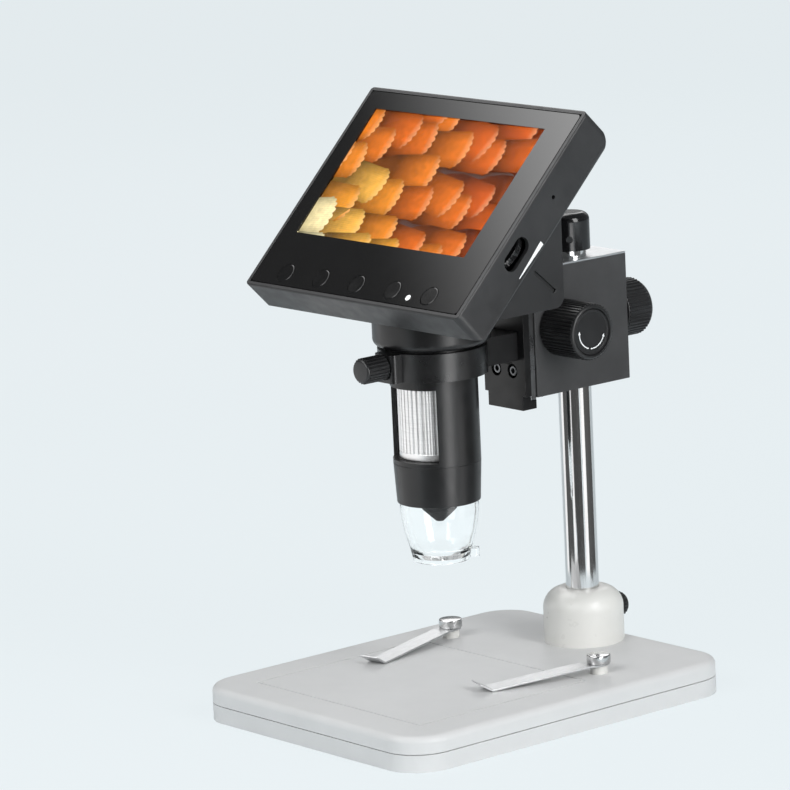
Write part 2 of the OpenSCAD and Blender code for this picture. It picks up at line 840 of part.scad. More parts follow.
module focus_rack() {
    z0 = tongue_z0 + 1;
    z1 = tongue_z1 - 1;
    root = tooth_w / 2 + rack_root * tan(20);
    tip = tooth_w / 2 - rack_tip * tan(20);
    first = ceil((z0 + root - knob_z) / tooth_pitch);
    last = floor((z1 - root - knob_z) / tooth_pitch);
    color("#c9a24a") {
        span([-rack_w / 2, rack_y - rack_root - 2.5, z0], [rack_w / 2, rack_y - rack_root, z1]);
        translate([-rack_w / 2, rack_y, knob_z]) along_x() linear_extrude(rack_w)
            for (i = [first:last]) translate([0, i * tooth_pitch])
                polygon([[-rack_root, -root], [rack_tip, -tip], [rack_tip, tip], [-rack_root, root]]);
    }
}

module carriage_screws() {
    color("#8f9193") at_each(carriage_screw_places) translate([0, screw_head_h + 0.3, 0]) along_y()
        small_screw(carriage_t + 1.5);
}

// ---------- Holder ----------

module holder_ring() {
    color("#222223") difference() {
        union() {
            translate([0, tube_y, 0]) bar(ring_r, ring_z, ring_z + ring_h);
            span([-8, tube_y, ring_z], [8, carriage_y, ring_z + ring_h]);
            translate([0, 0, ring_z]) linear_extrude(ring_h)
                rounded_rect(-lug_w / 2, lug_y, lug_w / 2, tube_y, [2, 2, 0, 0]);
        }
        translate([0, tube_y, 0]) bar(ring_bore_r, ring_z - cut, ring_z + ring_h + cut);
        translate([0, lug_y - cut, ring_screw_z]) along_y() bar(thumb_r + running_fit, 0, ring_r);
    }
}

module holder_sleeve() {
    color("#1a1a1b") translate([0, tube_y, 0])
        ring(sleeve_r, sleeve_in_r, ring_z + 0.4, ring_z + ring_h + sleeve_rise);
}

module ring_knob() {
    color("#1c1c1d") translate([0, ring_knob_y, ring_screw_z]) mirror([0, 1, 0]) along_y() difference() {
        ribbed_knob(ring_knob_d / 2, ring_knob_l, 22, 0.4, 1);
        bar(thumb_r, -cut, ring_knob_l - 2);
    }
}

module ring_screw() {
    color("#b9bbbd") translate([0, 0, ring_screw_z]) along_y()
        bar(thumb_r, ring_knob_y - ring_knob_l + 2, tube_y - sleeve_r - 0.2);
}

// ---------- Display housing ----------

// Frame of the glass: X across, Y up along the glass from its lower edge, Z out of its face
module on_glass() {
    translate([0, screen_y, screen_z]) rotate([screen_tilt, 0, 0]) children();
}

// Side outline of the housing with its two rear chamfers, drawn in from its faces by inset
module housing_side(inset, top) {
    less = inset * (2 - sqrt(2));
    back = -screen_t + inset;
    polygon([[inset, top], [inset, back + chamfer_low - less], [inset + chamfer_low - less, back],
        [screen_l - inset - chamfer_top + less, back], [screen_l - inset, back + chamfer_top - less],
        [screen_l - inset, top]]);
}

// Solid of the housing, made by three outlines that cross
module housing_body() {
    w = screen_w / 2;
    intersection() {
        rotate([90, 0, 90]) linear_extrude(screen_w + 2, center = true) difference() {
            housing_side(0, 0);
            translate([screen_l, 0]) rotate(180) corner_cut(front_r);
            rotate(270) corner_cut(front_r);
        }
        translate([0, 0, -screen_t - 1]) linear_extrude(screen_t + 2)
            rounded_rect(-w, 0, w, screen_l, [side_r, side_r, side_r, side_r]);
        translate([0, screen_l + 1, 0]) rotate([90, 0, 0]) linear_extrude(screen_l + 2)
            rounded_rect(-w, -screen_t, w, 0, [side_r, side_r, front_r, front_r]);
    }
}

// Stadium-shaped slot through the right wall, long along the glass
module dial_slot() {
    half = (dial_slot_l - dial_slot_w) / 2;
    translate([screen_w / 2 - shell_wall - cut, dial_g, dial_n]) along_x()
        linear_extrude(shell_wall + 2 * cut) {
            for (s = [-1, 1]) translate([s * half, 0]) circle(dial_slot_w / 2);
            square([2 * half, dial_slot_w], center = true);
        }
}

module housing_shell() {
    inner_w = screen_w / 2 - shell_wall;
    color("#39393a") on_glass() difference() {
        union() {
            difference() {
                housing_body();
                rotate([90, 0, 90]) linear_extrude(2 * inner_w, center = true)
                    housing_side(shell_wall, -glass_t - 1.2);
                span([-inner_w + ledge_w, shell_wall + ledge_w, -glass_t - 2],
                    [inner_w - ledge_w, screen_l - shell_wall - ledge_w, cut]);
                span([-glass_w / 2 - glass_gap, glass_g0 - glass_gap, -glass_t],
                    [glass_w / 2 + glass_gap, glass_g1 + glass_gap, cut]);
            }
            at_each(board_posts) bar(post_r, -screen_t + shell_wall / 2, board_n - board_t);
        }
        dial_slot();
        translate([screen_w / 2, screen_l - reset_below, dial_n - reset_drop]) along_x()
            bar(reset_r, -2 * shell_wall, cut);
        for (p = port_slots)
            span([-screen_w / 2 - cut, p[0] - port_gap, port_n - port_gap],
                [-screen_w / 2 + shell_wall + cut, p[0] + p[1] + port_gap, port_n + p[2] + port_gap]);
        span([-ribbon_slot_w / 2, screen_l - ribbon_slot_top - ribbon_slot_l, -screen_t - cut],
            [ribbon_slot_w / 2, screen_l - ribbon_slot_top, -screen_t + shell_wall + cut]);
        at_each(cover_screw_places) bar(screw_r + seat_gap, -screen_t - cut, -screen_t + shell_wall + cut);
    }
}

// Where the plane behind the housing meets a height or a distance from the front
function back_plane_y(z) = screen_y + screen_t * sin(screen_tilt)
    + (z - screen_z + screen_t * cos(screen_tilt)) / tan(screen_tilt);
function back_plane_z(y) = screen_z - screen_t * cos(screen_tilt)
    + (y - screen_y - screen_t * sin(screen_tilt)) * tan(screen_tilt);

// Side outline of the rear cover, drawn in from its flat faces by inset and past the housing by over
module cover_side(inset, over) {
    y1 = cover_back - inset;
    z0 = cover_z0 + inset;
    r = cover_r - inset;
    difference() {
        polygon([[back_plane_y(z0) - over, z0], [y1, z0], [y1, back_plane_z(y1) + over]]);
        translate([y1, z0]) rotate(90) corner_cut(r);
    }
}

module rear_cover() {
    half = cover_w / 2;
    color("#2f2f30") difference() {
        union() {
            difference() {
                rotate([90, 0, 90]) linear_extrude(cover_w, center = true) cover_side(0, 0);
                rotate([90, 0, 90]) linear_extrude(cover_w - 2 * cover_wall, center = true)
                    cover_side(cover_wall, cut);
            }
            intersection() {
                on_glass() at_each(cover_screw_places)
                    bar(cover_boss_r, -screen_t - cover_boss_h, -screen_t + cut);
                rotate([90, 0, 90]) linear_extrude(cover_w, center = true) cover_side(0, 0);
            }
        }
        on_glass() at_each(cover_screw_places)
            bar(screw_r + seat_gap, -screen_t - cover_boss_h + 1.5, -screen_t + cut);
        translate([0, tube_y, 0]) bar(cable_hole_r, cover_z0 - cut, cover_z0 + cover_wall + cut);
        at_each(neck_screw_places) bar(screw_r + seat_gap, cover_z0 - cut, cover_z0 + cover_wall + cut);
        for (s = [-1, 1]) translate([s * half, 0, 0]) rotate([90, 0, 90])
            linear_extrude(2 * cover_slot_depth, center = true)
                translate([cover_back - cover_slot_back, cover_z0 + cover_slot_up])
                    rotate(-screen_tilt + 4) square([cover_slot_l, cover_slot_w], center = true);
    }
}

module front_glass() {
    color("#0c0c0d") on_glass() difference() {
        translate([0, 0, -glass_t]) linear_extrude(glass_t)
            rounded_rect(-glass_w / 2, glass_g0, glass_w / 2, glass_g1, [1.5, 1.5, 1.5, 1.5]);
        at_each(button_places) bar(button_r + running_fit, -glass_t - cut, cut);
        translate([light_x, light_g, 0]) bar(light_r + seat_gap, -glass_t - cut, cut);
    }
}

module lcd_panel() {
    color("#d9822b") on_glass()
        span([picture_x - picture_w / 2 - lcd_frame, picture_g - picture_l / 2 - lcd_frame, lcd_n],
            [picture_x + picture_w / 2 + lcd_frame, picture_g + picture_l / 2 + lcd_frame, -glass_t]);
}

// ---------- Inside the housing ----------

module main_board() {
    color("#1f5a3a") on_glass() difference() {
        union() {
            span([-board_w / 2, board_g0, board_n - board_t], [board_w / 2, board_g1, board_n]);
            at_each(button_places) translate([-switch_size / 2, -switch_size / 2 + switch_up, board_n])
                cube([switch_size, switch_size, switch_n - board_n]);
            translate([dial_x, dial_g, 0]) bar(dial_pin_r, board_n, dial_n + dial_t / 2 + 0.3);
            translate([light_x, light_g, 0]) bar(light_r - 0.3, board_n, -glass_t - 0.6);
        }
        at_each(board_posts) bar(post_hole_r, board_n - board_t - cut, board_n + cut);
    }
}

module side_ports() {
    color("#b9bbbd") on_glass() for (p = port_slots) difference() {
        span([-screen_w / 2 + 0.4, p[0], port_n], [-board_w / 2 + 1, p[0] + p[1], port_n + p[2]]);
        span([-screen_w / 2, p[0] + port_wall, port_n + port_wall],
            [-board_w / 2 - 1, p[0] + p[1] - port_wall, port_n + p[2] - port_wall]);
    }
}

module battery() {
    half = battery_size / 2;
    color("#8d9094") on_glass()
        span([-half[0], battery_g - half[1], -screen_t - battery_size[2]],
            [half[0], battery_g + half[1], -screen_t]);
}

// One button: a cap in the glass, two ears behind it and a stem down to its switch
module button(index) {
    color("#141415") on_glass() translate(button_places[index]) {
        translate([0, 0, -glass_t - 0.1])
            rotate_extrude() rounded_rect(0, 0, button_r, glass_t + 0.2, [0, 0, 0.5, 0]);
        span([-button_r - button_ear, -button_ear_l / 2, -glass_t - button_ear_t - 0.1],
            [button_r + button_ear, button_ear_l / 2, -glass_t - 0.1]);
        translate([0, switch_up, 0]) bar(button_stem_r, switch_n + button_travel, -glass_t - 0.5);
    }
}

module indicator_light() {
    color("#f4f4f2") on_glass() translate([light_x, light_g, 0]) bar(light_r, -glass_t - 0.6, 0);
}

module brightness_dial() {
    color("#1b1b1c") on_glass() translate([dial_x, dial_g, dial_n - dial_t / 2]) difference() {
        ribbed_knob(dial_r, dial_t, 48, 0.35, 0.3);
        bar(dial_pin_r + running_fit, -cut, dial_t + cut);
    }
}

// ---------- Neck and tube ----------

module neck_ring() {
    edge = neck_r - ring_r + 1.2;
    color("#2c2c2d") difference() {
        translate([0, tube_y, neck_z]) rotate_extrude() translate([tube_r, 0])
            rounded_rect(0, 0, neck_r - tube_r, neck_h, [0, edge, 0, 0]);
        at_each(neck_screw_places) bar(screw_r + seat_gap, cover_z0 - 7, cover_z0 + cut);
    }
}

module tube_body() {
    color("#262627") translate([0, tube_y, 0]) difference() {
        union() {
            ring(tube_r, tube_in_r, nose_top, cover_z0);
            ring(tube_r - 0.5, barrel_bore_r + 0.5, wheel_z1 + 0.1, wheel_z1 + 3.1);
        }
        rotate([0, 0, 270 - window_angle / 2]) translate([0, 0, window_z0])
            rotate_extrude(angle = window_angle) translate([tube_in_r - cut, 0])
                square([tube_wall + 2 * cut, window_z1 - window_z0]);
    }
}

module nose_sleeve() {
    shoulder = tube_in_r - seat_gap;
    color("#242425") translate([0, tube_y, 0]) rotate_extrude() polygon([
        [nose_r, nose_z], [tube_r, nose_top], [shoulder, nose_top],
        [shoulder, wheel_z0 - 0.1], [barrel_bore_r + 0.5, wheel_z0 - 0.1],
        [barrel_bore_r + 0.5, nose_top - 1.5], [socket_r, nose_top - 4],
        [socket_r, web_z + web_t], [cone_r + seat_gap, web_z + web_t], [cone_r + seat_gap, web_z],
        [socket_r, web_z], [socket_r, nose_z]]);
}

module focus_wheel() {
    band = 2.6;
    rib = 0.35;
    color("#c4c6c8") translate([0, tube_y, 0]) difference() {
        union() {
            bar(wheel_r - rib, wheel_z0, wheel_z1);
            bar(wheel_r, wheel_z0, wheel_z0 + band);
            translate([0, 0, wheel_z0]) linear_extrude(wheel_z1 - wheel_z0) for (i = [0:wheel_ribs - 1])
                rotate(i * 360 / wheel_ribs) translate([wheel_r - 2 * rib, -0.5]) square([2 * rib, 1]);
        }
        bar(barrel_bore_r, wheel_z0 - cut, wheel_z1 + cut);
    }
}

module lens_barrel() {
    color("#8a8c8f") translate([0, tube_y, 0]) {
        ring(barrel_r, lens_r + seat_gap, barrel_z0, barrel_z1);
        ring(barrel_r - 0.5, lens_r - 1.5, barrel_z0 + 5, barrel_z0 + 7);
    }
}

module objective_lens() {
    bulge = 1.1;
    edge = 0.6;
    curve_r = (lens_r * lens_r + bulge * bulge) / (2 * bulge);
    color("#a8c4cc") translate([0, tube_y, barrel_z0 + 3]) rotate_extrude() intersection() {
        translate([0, -bulge - edge]) square([lens_r, 2 * (bulge + edge)]);
        translate([0, bulge + edge - curve_r]) circle(curve_r, $fn = 400);
        translate([0, curve_r - bulge - edge]) circle(curve_r, $fn = 400);
    }
}

module sensor_board() {
    color("#1f5a3a") translate([0, tube_y, 0]) {
        bar(tube_in_r - 0.2, sensor_z, sensor_z + board_t);
        span([-4, -4, sensor_z - 1.2], [4, 4, sensor_z]);
    }
}

module led_places() {
    for (i = [0:led_count - 1])
        rotate(i * 360 / led_count) translate([led_ring_r, 0, 0]) children();
}

module led_cover() {
    color("#1d1d1e") translate([0, tube_y, 0]) difference() {
        bar(led_cover_r, nose_z, web_z);
        bar(led_cover_r - 1, nose_z + 1.2, web_z + cut);
        bar(cone_r + seat_gap, nose_z - cut, web_z);
        led_places() bar(led_r + 0.15, nose_z - cut, web_z);
    }
}

module led_board() {
    color("#f3f1e4") translate([0, tube_y, 0]) {
        ring(led_cover_r - 1.1, cone_r + 0.3, web_z - 1.2, web_z);
        led_places() {
            bar(led_r, nose_z + 0.5, web_z - 1.2);
            translate([0, 0, nose_z + 0.5]) intersection() {
                sphere(led_r);
                bar(led_r, -led_r, 0);
            }
        }
    }
}

module nose_cone() {
    flange = web_z + web_t;
    color("#0f0f10") translate([0, tube_y, 0]) rotate_extrude() polygon([
        [1, nose_z - 7.9], [cone_tip_r - 0.3, nose_z - 7.9], [cone_tip_r, nose_z - 7.6],
        [cone_r, nose_z - 3.4], [cone_r, flange], [cone_r + 1.2, flange], [cone_r + 1.2, flange + 0.8],
        [cone_r - 1.5, flange + 0.8], [cone_r - 1.5, nose_z - 2.6]]);
}

// Clear cap: a plug in the nose, a curved skirt, a thick end ring and a small lug
module clear_cap() {
    drop = cap_drop;
    outer = [[cap_r, cap_plug_h], [cap_r, -0.18 * drop], [cap_r - 0.4, -0.34 * drop],
        [cap_r - 1.1, -0.5 * drop], [cap_r - 1.9, -0.64 * drop], [cap_end_r + 0.6, -0.8 * drop],
        [cap_end_r, -0.93 * drop], [cap_end_r - 0.3, -drop]];
    inner = [[cap_end_r - 3, -drop], [cap_end_r - 3, -drop + 1.4], [cap_end_r - cap_wall, -0.86 * drop],
        [cap_end_r + 0.6 - cap_wall, -0.8 * drop], [cap_r - 1.9 - cap_wall, -0.64 * drop],
        [cap_r - 1.1 - cap_wall, -0.5 * drop], [cap_r - cap_wall, -0.2 * drop],
        [cap_r - cap_wall, cap_plug_h]];
    color("#e8f0f2", 0.4) translate([0, tube_y, nose_z]) {
        rotate_extrude() polygon(concat(outer, inner));
        rotate([0, 0, 50]) translate([cap_end_r - 0.6, 0, -drop + 0.8]) linear_extrude(3)
            rounded_rect(0, -2.5, 3.8, 2.5, [0, 1.5, 1.5, 0]);
    }
}

// ---------- Nodes ----------

base_tray();
base_cover();
base_ballast();
base_feet();
base_screws();
pole_collar();
collar_fixings();
clip_posts();
clip_screws();
clip_left();
clip_right();
pole();
pole_cap();
collar_knob();
collar_screw();
arm_block();
arm_top_plate();
pinion_bush();
pinion_shaft();
focus_knob();
lock_knob();
lock_knob_face();
lock_screw();
clamp_knob();
clamp_screw();
slide_carriage();
slide_strips();
dovetail_tongue();
focus_rack();
carriage_screws();
holder_ring();
holder_sleeve();
ring_knob();
ring_screw();
housing_shell();
rear_cover();
front_glass();
lcd_panel();
main_board();
battery();
button(0);  // button_1
button(1);  // button_2
button(2);  // button_3
button(3);  // button_4
button(4);  // button_5
indicator_light();
brightness_dial();
side_ports();
neck_ring();
tube_body();
nose_sleeve();
focus_wheel();
lens_barrel();
objective_lens();
sensor_board();
led_cover();
led_board();
nose_cone();
clear_cap();
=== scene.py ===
"""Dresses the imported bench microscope: its finishes, its fine shapes, a plain studio and the camera."""
import logging
import math
from dataclasses import dataclass, field
from enum import Enum
from functools import lru_cache
from typing import Optional, Sequence, Union

import bmesh
import bpy
from mathutils import Matrix, Vector


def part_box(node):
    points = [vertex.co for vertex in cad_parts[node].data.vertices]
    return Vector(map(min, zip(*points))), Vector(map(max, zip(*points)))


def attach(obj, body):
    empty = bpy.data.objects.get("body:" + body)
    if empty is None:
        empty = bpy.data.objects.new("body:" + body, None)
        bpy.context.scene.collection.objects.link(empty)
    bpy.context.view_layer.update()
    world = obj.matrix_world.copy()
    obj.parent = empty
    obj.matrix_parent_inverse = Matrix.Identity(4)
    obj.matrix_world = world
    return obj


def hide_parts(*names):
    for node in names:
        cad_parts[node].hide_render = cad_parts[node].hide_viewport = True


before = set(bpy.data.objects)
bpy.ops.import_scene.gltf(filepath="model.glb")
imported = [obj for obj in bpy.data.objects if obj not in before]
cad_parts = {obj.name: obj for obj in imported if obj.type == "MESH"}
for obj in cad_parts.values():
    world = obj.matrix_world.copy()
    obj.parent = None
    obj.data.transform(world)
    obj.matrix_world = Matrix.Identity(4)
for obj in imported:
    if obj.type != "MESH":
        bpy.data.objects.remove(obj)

LOG = logging.getLogger("microscope")
MM = 0.001
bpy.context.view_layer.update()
# Faces whose angle is under this lie in one plane
FLAT = math.radians(0.3)
# Angle between faces, in degrees, above which an edge of a CAD node counts as sharp
CAD_EDGE = 30.0
Point2 = tuple[float, float]
Point3 = tuple[float, float, float]


# ---------- Frames of reference, in millimetres ----------

class Axis(Enum):
    """Directions that a turned piece can stand along."""

    UP = (0.0, 0.0, 1.0)
    RIGHT = (1.0, 0.0, 0.0)
    LEFT = (-1.0, 0.0, 0.0)
    FRONT = (0.0, -1.0, 0.0)
    BACK = (0.0, 1.0, 0.0)


class Body(Enum):
    """Bodies of the frame that the visible pieces ride on."""

    STAND = "stand"
    CLIP_LEFT = "clip_left_body"
    CLIP_RIGHT = "clip_right_body"
    COLLAR_CLAMP = "collar_clamp"
    ARM = "arm"
    FOCUS_DRIVE = "focus_drive"
    LOCK = "lock"
    POLE_CLAMP = "pole_clamp"
    CARRIAGE = "carriage"
    RING_CLAMP = "ring_clamp"
    MICROSCOPE = "microscope"
    DIAL = "dial"
    WHEEL = "wheel"
    CAP = "cap"


def standing(axis: Axis, at: Point3) -> Matrix:
    """Places a shape modelled along +Z, in millimetres, along an axis in the frame.

    Args:
        axis: the direction that +Z is turned to.
        at: where the shape's origin goes, in millimetres.

    Returns:
        The matrix from millimetres to the frame's metres.
    """
    turn = Vector((0, 0, 1)).rotation_difference(Vector(axis.value)).to_matrix().to_4x4()
    return Matrix.Scale(MM, 4) @ Matrix.Translation(at) @ turn


class Corners:
    """Lowest and highest corner of a CAD node, in millimetres."""

    def __init__(self, node: str) -> None:
        """Reads the node's box.

        Args:
            node: the CAD node.
        """
        low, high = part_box(node)
        self.low = Vector(low) / MM
        self.high = Vector(high) / MM

    @property
    def mid(self) -> Vector:
        """Middle of the box."""
        return (self.low + self.high) / 2

    @property
    def size(self) -> Vector:
        """Length of the box's sides."""
        return self.high - self.low


@dataclass(frozen=True)
class GlassPlane:
    """The tilted plane of the display's glass: X across, Y up along the glass, Z out of its face."""

    lower_edge: Point3 = (0.0, -47.2, 160.2)
    tilt: float = math.radians(45.0)

    def matrix(self) -> Matrix:
        """Returns the matrix from the plane's millimetres to the frame's metres."""
        return (Matrix.Scale(MM, 4) @ Matrix.Translation(self.lower_edge)
                @ Matrix.Rotation(self.tilt, 4, "X"))


GLASS = GlassPlane()


# ---------- Materials ----------

def linear(code: str) -> tuple[float, float, float, float]:
    """Turns an sRGB hex colour into the linear colour that a shader takes.

    Args:
        code: six hex digits with a leading hash.

    Returns:
        Linear red, green, blue and an alpha of one.
    """
    def channel(value: float) -> float:
        """Linearises one channel."""
        return value / 12.92 if value <= 0.04045 else ((value + 0.055) / 1.055) ** 2.4
    red, green, blue = (channel(int(code[i:i + 2], 16) / 255) for i in (1, 3, 5))
    return red, green, blue, 1.0


Setting = Union[float, Sequence[float], bpy.types.NodeSocket]


def add_node(tree: bpy.types.NodeTree, kind: str, sockets: Optional[dict] = None,
             **settings: object) -> bpy.types.Node:
    """Adds a node, sets its properties, and fills or links its inputs.

    Args:
        tree: the node tree.
        kind: the node's type name.
        sockets: input name or index to a value, or to the output socket to link from.
        settings: properties of the node.

    Returns:
        The new node.
    """
    node = tree.nodes.new(kind)
    for name, value in settings.items():
        setattr(node, name, value)
    fill(tree, node, sockets or {})
    return node


def fill(tree: bpy.types.NodeTree, node: bpy.types.Node, sockets: dict) -> None:
    """Sets a node's inputs, or links them.

    Args:
        tree: the node tree.
        node: the node.
        sockets: input name or index to a value, or to the output socket to link from.
    """
    for key, value in sockets.items():
        if isinstance(value, bpy.types.NodeSocket):
            tree.links.new(value, node.inputs[key])
        else:
            node.inputs[key].default_value = value


def calc(tree: bpy.types.NodeTree, operation: str, *values: Setting,
         **settings: object) -> bpy.types.NodeSocket:
    """Adds a calculation on one, two or three numbers and gives its result."""
    settings["operation"] = operation
    return add_node(tree, "ShaderNodeMath", dict(enumerate(values)), **settings).outputs[0]


def mapped(tree: bpy.types.NodeTree, value: bpy.types.NodeSocket, given: Point2, wanted: Point2,
           **settings: object) -> bpy.types.NodeSocket:
    """Maps one range of numbers onto another.

    Args:
        tree: the node tree.
        value: the number.
        given: lowest and highest number that comes in.
        wanted: the results for those two.
        settings: properties of the node.

    Returns:
        The socket with the mapped number.
    """
    sockets = {"Value": value, "From Min": given[0], "From Max": given[1], "To Min": wanted[0],
               "To Max": wanted[1]}
    return add_node(tree, "ShaderNodeMapRange", sockets, **settings).outputs["Result"]


def new_material(name: str) -> tuple[bpy.types.Material, bpy.types.NodeTree, bpy.types.Node]:
    """Makes an empty material with a Principled shader on its output.

    Args:
        name: the material's name.

    Returns:
        The material, its tree and the shader node.
    """
    material = bpy.data.materials.new(name)
    material.use_nodes = True
    tree = material.node_tree
    tree.nodes.clear()
    shader = add_node(tree, "ShaderNodeBsdfPrincipled")
    add_node(tree, "ShaderNodeOutputMaterial", {"Surface": shader.outputs["BSDF"]})
    return material, tree, shader


def object_place(tree: bpy.types.NodeTree, stretch: Point3 = (1.0, 1.0, 1.0)) -> bpy.types.NodeSocket:
    """Gives the surface point in millimetres, scaled along each axis.

    Args:
        tree: the node tree.
        stretch: factor along X, Y and Z.

    Returns:
        The socket that holds the point.
    """
    place = add_node(tree, "ShaderNodeTexCoord").outputs["Object"]
    scale = tuple(factor / MM for factor in stretch)
    return add_node(tree, "ShaderNodeMapping", {"Vector": place, "Scale": scale}).outputs["Vector"]


def noise(tree: bpy.types.NodeTree, place: bpy.types.NodeSocket, size_mm: float,
          detail: float = 2.0) -> bpy.types.NodeSocket:
    """Gives noise whose lumps are about a stated size across.

    Args:
        tree: the node tree.
        place: the point in millimetres.
        size_mm: size of a lump.
        detail: octaves of finer noise.

    Returns:
        The socket with values round a half.
    """
    return add_node(tree, "ShaderNodeTexNoise",
                    {"Vector": place, "Scale": 1.0 / size_mm, "Detail": detail}).outputs["Fac"]


def spread(tree: bpy.types.NodeTree, value: bpy.types.NodeSocket, low: float,
           high: float) -> bpy.types.NodeSocket:
    """Maps noise round a half onto a range.

    Args:
        tree: the node tree.
        value: the noise.
        low: result where the noise is lowest.
        high: result where the noise is highest.

    Returns:
        The socket with the mapped value.
    """
    return mapped(tree, value, (0.3, 0.7), (low, high))


def tinted(tree: bpy.types.NodeTree, value: bpy.types.NodeSocket, dark: str,
           light: str) -> bpy.types.NodeSocket:
    """Blends two colours by noise.

    Args:
        tree: the node tree.
        value: the noise.
        dark: colour where the noise is low.
        light: colour where the noise is high.

    Returns:
        The colour socket.
    """
    sockets = {0: spread(tree, value, 0.0, 1.0), 6: linear(dark), 7: linear(light)}
    return add_node(tree, "ShaderNodeMix", sockets, data_type="RGBA").outputs[2]


def bumped(tree: bpy.types.NodeTree, shader: bpy.types.Node, height: bpy.types.NodeSocket,
           depth_mm: float) -> None:
    """Gives a shader a relief.

    Args:
        tree: the node tree.
        shader: the Principled shader.
        height: the relief, from nought to one.
        depth_mm: height of the relief.
    """
    bump = add_node(tree, "ShaderNodeBump", {"Height": height, "Strength": 1.0, "Distance": depth_mm * MM})
    tree.links.new(bump.outputs["Normal"], shader.inputs["Normal"])


@dataclass(frozen=True)
class Moulded:
    """Injection-moulded or painted surface: two near tones, a fine spark-eroded grain, uneven gloss."""

    name: str
    dark: str
    light: str
    roughness: float = 0.45
    gloss_play: float = 0.06
    grain_mm: float = 0.35
    grain_depth_mm: float = 0.008
    ior: float = 1.5
    coat: float = 0.0
    emission: float = 0.0
    coat_roughness: float = 0.04
    cloud_mm: float = 14.0
    smear_mm: float = 5.0

    def make(self) -> bpy.types.Material:
        """Builds the material."""
        material, tree, shader = new_material(self.name)
        place = object_place(tree)
        cloud = noise(tree, place, self.cloud_mm, detail=3.0)
        smear = noise(tree, place, self.smear_mm, detail=4.0)
        rough = spread(tree, smear, self.roughness - self.gloss_play, self.roughness + self.gloss_play)
        fill(tree, shader, {"Base Color": tinted(tree, cloud, self.dark, self.light), "Roughness": rough,
                            "IOR": self.ior, "Coat Weight": self.coat,
                            "Coat Roughness": self.coat_roughness})
        if self.emission:
            fill(tree, shader, {"Emission Color": linear(self.light), "Emission Strength": self.emission})
        # Spark-eroded grain is about 0.1 mm wide and is drawn coarser so that it shows
        bumped(tree, shader, noise(tree, place, self.grain_mm), self.grain_depth_mm)
        return material


@dataclass(frozen=True)
class Metal:
    """Bare metal: turned, drawn or brushed lines along one axis, or a polish."""

    name: str
    dark: str
    light: str
    roughness: float = 0.25
    gloss_play: float = 0.05
    line_mm: float = 0.25
    line_stretch: Point3 = (1.0, 1.0, 0.04)
    line_depth_mm: float = 0.003
    smear_mm: float = 6.0
    smoothest: float = 0.02

    def make(self) -> bpy.types.Material:
        """Builds the material."""
        material, tree, shader = new_material(self.name)
        lines = noise(tree, object_place(tree, self.line_stretch), self.line_mm, detail=3.0)
        smear = noise(tree, object_place(tree), self.smear_mm, detail=3.0)
        rough = spread(tree, smear, max(self.roughness - self.gloss_play, self.smoothest),
                       self.roughness + self.gloss_play)
        fill(tree, shader, {"Base Color": tinted(tree, lines, self.dark, self.light), "Metallic": 1.0,
                            "Roughness": rough})
        bumped(tree, shader, lines, self.line_depth_mm)
        return material


@dataclass(frozen=True)
class Clear:
    """Clear moulded plastic: light passes and bends, with faint flow waves in its skin."""

    name: str
    colour: str
    roughness: float = 0.02
    ior: float = 1.49
    wave_mm: float = 6.0
    wave_depth_mm: float = 0.02

    def make(self) -> bpy.types.Material:
        """Builds the material."""
        material, tree, shader = new_material(self.name)
        fill(tree, shader, {"Base Color": linear(self.colour), "Transmission Weight": 1.0,
                            "Roughness": self.roughness, "IOR": self.ior})
        bumped(tree, shader, noise(tree, object_place(tree), self.wave_mm), self.wave_depth_mm)
        return material


# ---------- Shaping, in millimetres ----------

def rounded_path(corners: Sequence[Point2], radii: Sequence[float], steps: int = 4) -> list[Point2]:
    """Rounds the corners of a closed outline.

    Args:
        corners: the outline's corners in order.
        radii: radius at each corner, nought for a sharp one.
        steps: segments of each arc.

    Returns:
        The points of the rounded outline.
    """
    result: list[Point2] = []
    count = len(corners)
    for i, radius in enumerate(radii):
        here = Vector(corners[i])
        back = (Vector(corners[i - 1]) - here).normalized()
        ahead = (Vector(corners[(i + 1) % count]) - here).normalized()
        if radius <= 0:
            result.append((here.x, here.y))
            continue
        half = math.acos(max(-1.0, min(1.0, back.dot(ahead)))) / 2
        run = radius / math.tan(half)
        middle = here + (back + ahead).normalized() * (radius / math.sin(half))
        start, stop = here + back * run - middle, here + ahead * run - middle
        turn = math.atan2(start.x * stop.y - start.y * stop.x, start.dot(stop))
        for k in range(steps + 1):
            angle = turn * k / steps
            cos, sin = math.cos(angle), math.sin(angle)
            result.append((middle.x + start.x * cos - start.y * sin,
                           middle.y + start.x * sin + start.y * cos))
    return result


def rectangle(low: Point2, high: Point2) -> list[Point2]:
    """Outlines a rectangle between its lowest and its highest corner."""
    return [low, (high[0], low[1]), high, (low[0], high[1])]


def polar(radius: float, angle: float) -> Point2:
    """Gives the point at a distance and an angle, in radians, from the origin."""
    return radius * math.cos(angle), radius * math.sin(angle)


def lathe(outline: Sequence[Point2], steps: int = 96) -> bmesh.types.BMesh:
    """Turns a closed outline of radius and height round Z.

    Args:
        outline: the points (radius, height) in order.
        steps: segments round the axis.

    Returns:
        The closed mesh.
    """
    mesh = bmesh.new()
    rings = []
    for radius, height in outline:
        if radius < 1e-6:
            rings.append([mesh.verts.new((0, 0, height))] * steps)
        else:
            rings.append([mesh.verts.new((*polar(radius, 2 * math.pi * k / steps), height))
                          for k in range(steps)])
    for lower, upper in zip(rings, rings[1:] + rings[:1]):
        for k in range(steps):
            face = [lower[k - 1], lower[k], upper[k], upper[k - 1]]
            corners = [v for i, v in enumerate(face) if v not in face[:i]]
            if len(corners) > 2:
                mesh.faces.new(corners)
    bmesh.ops.recalc_face_normals(mesh, faces=mesh.faces)
    return mesh


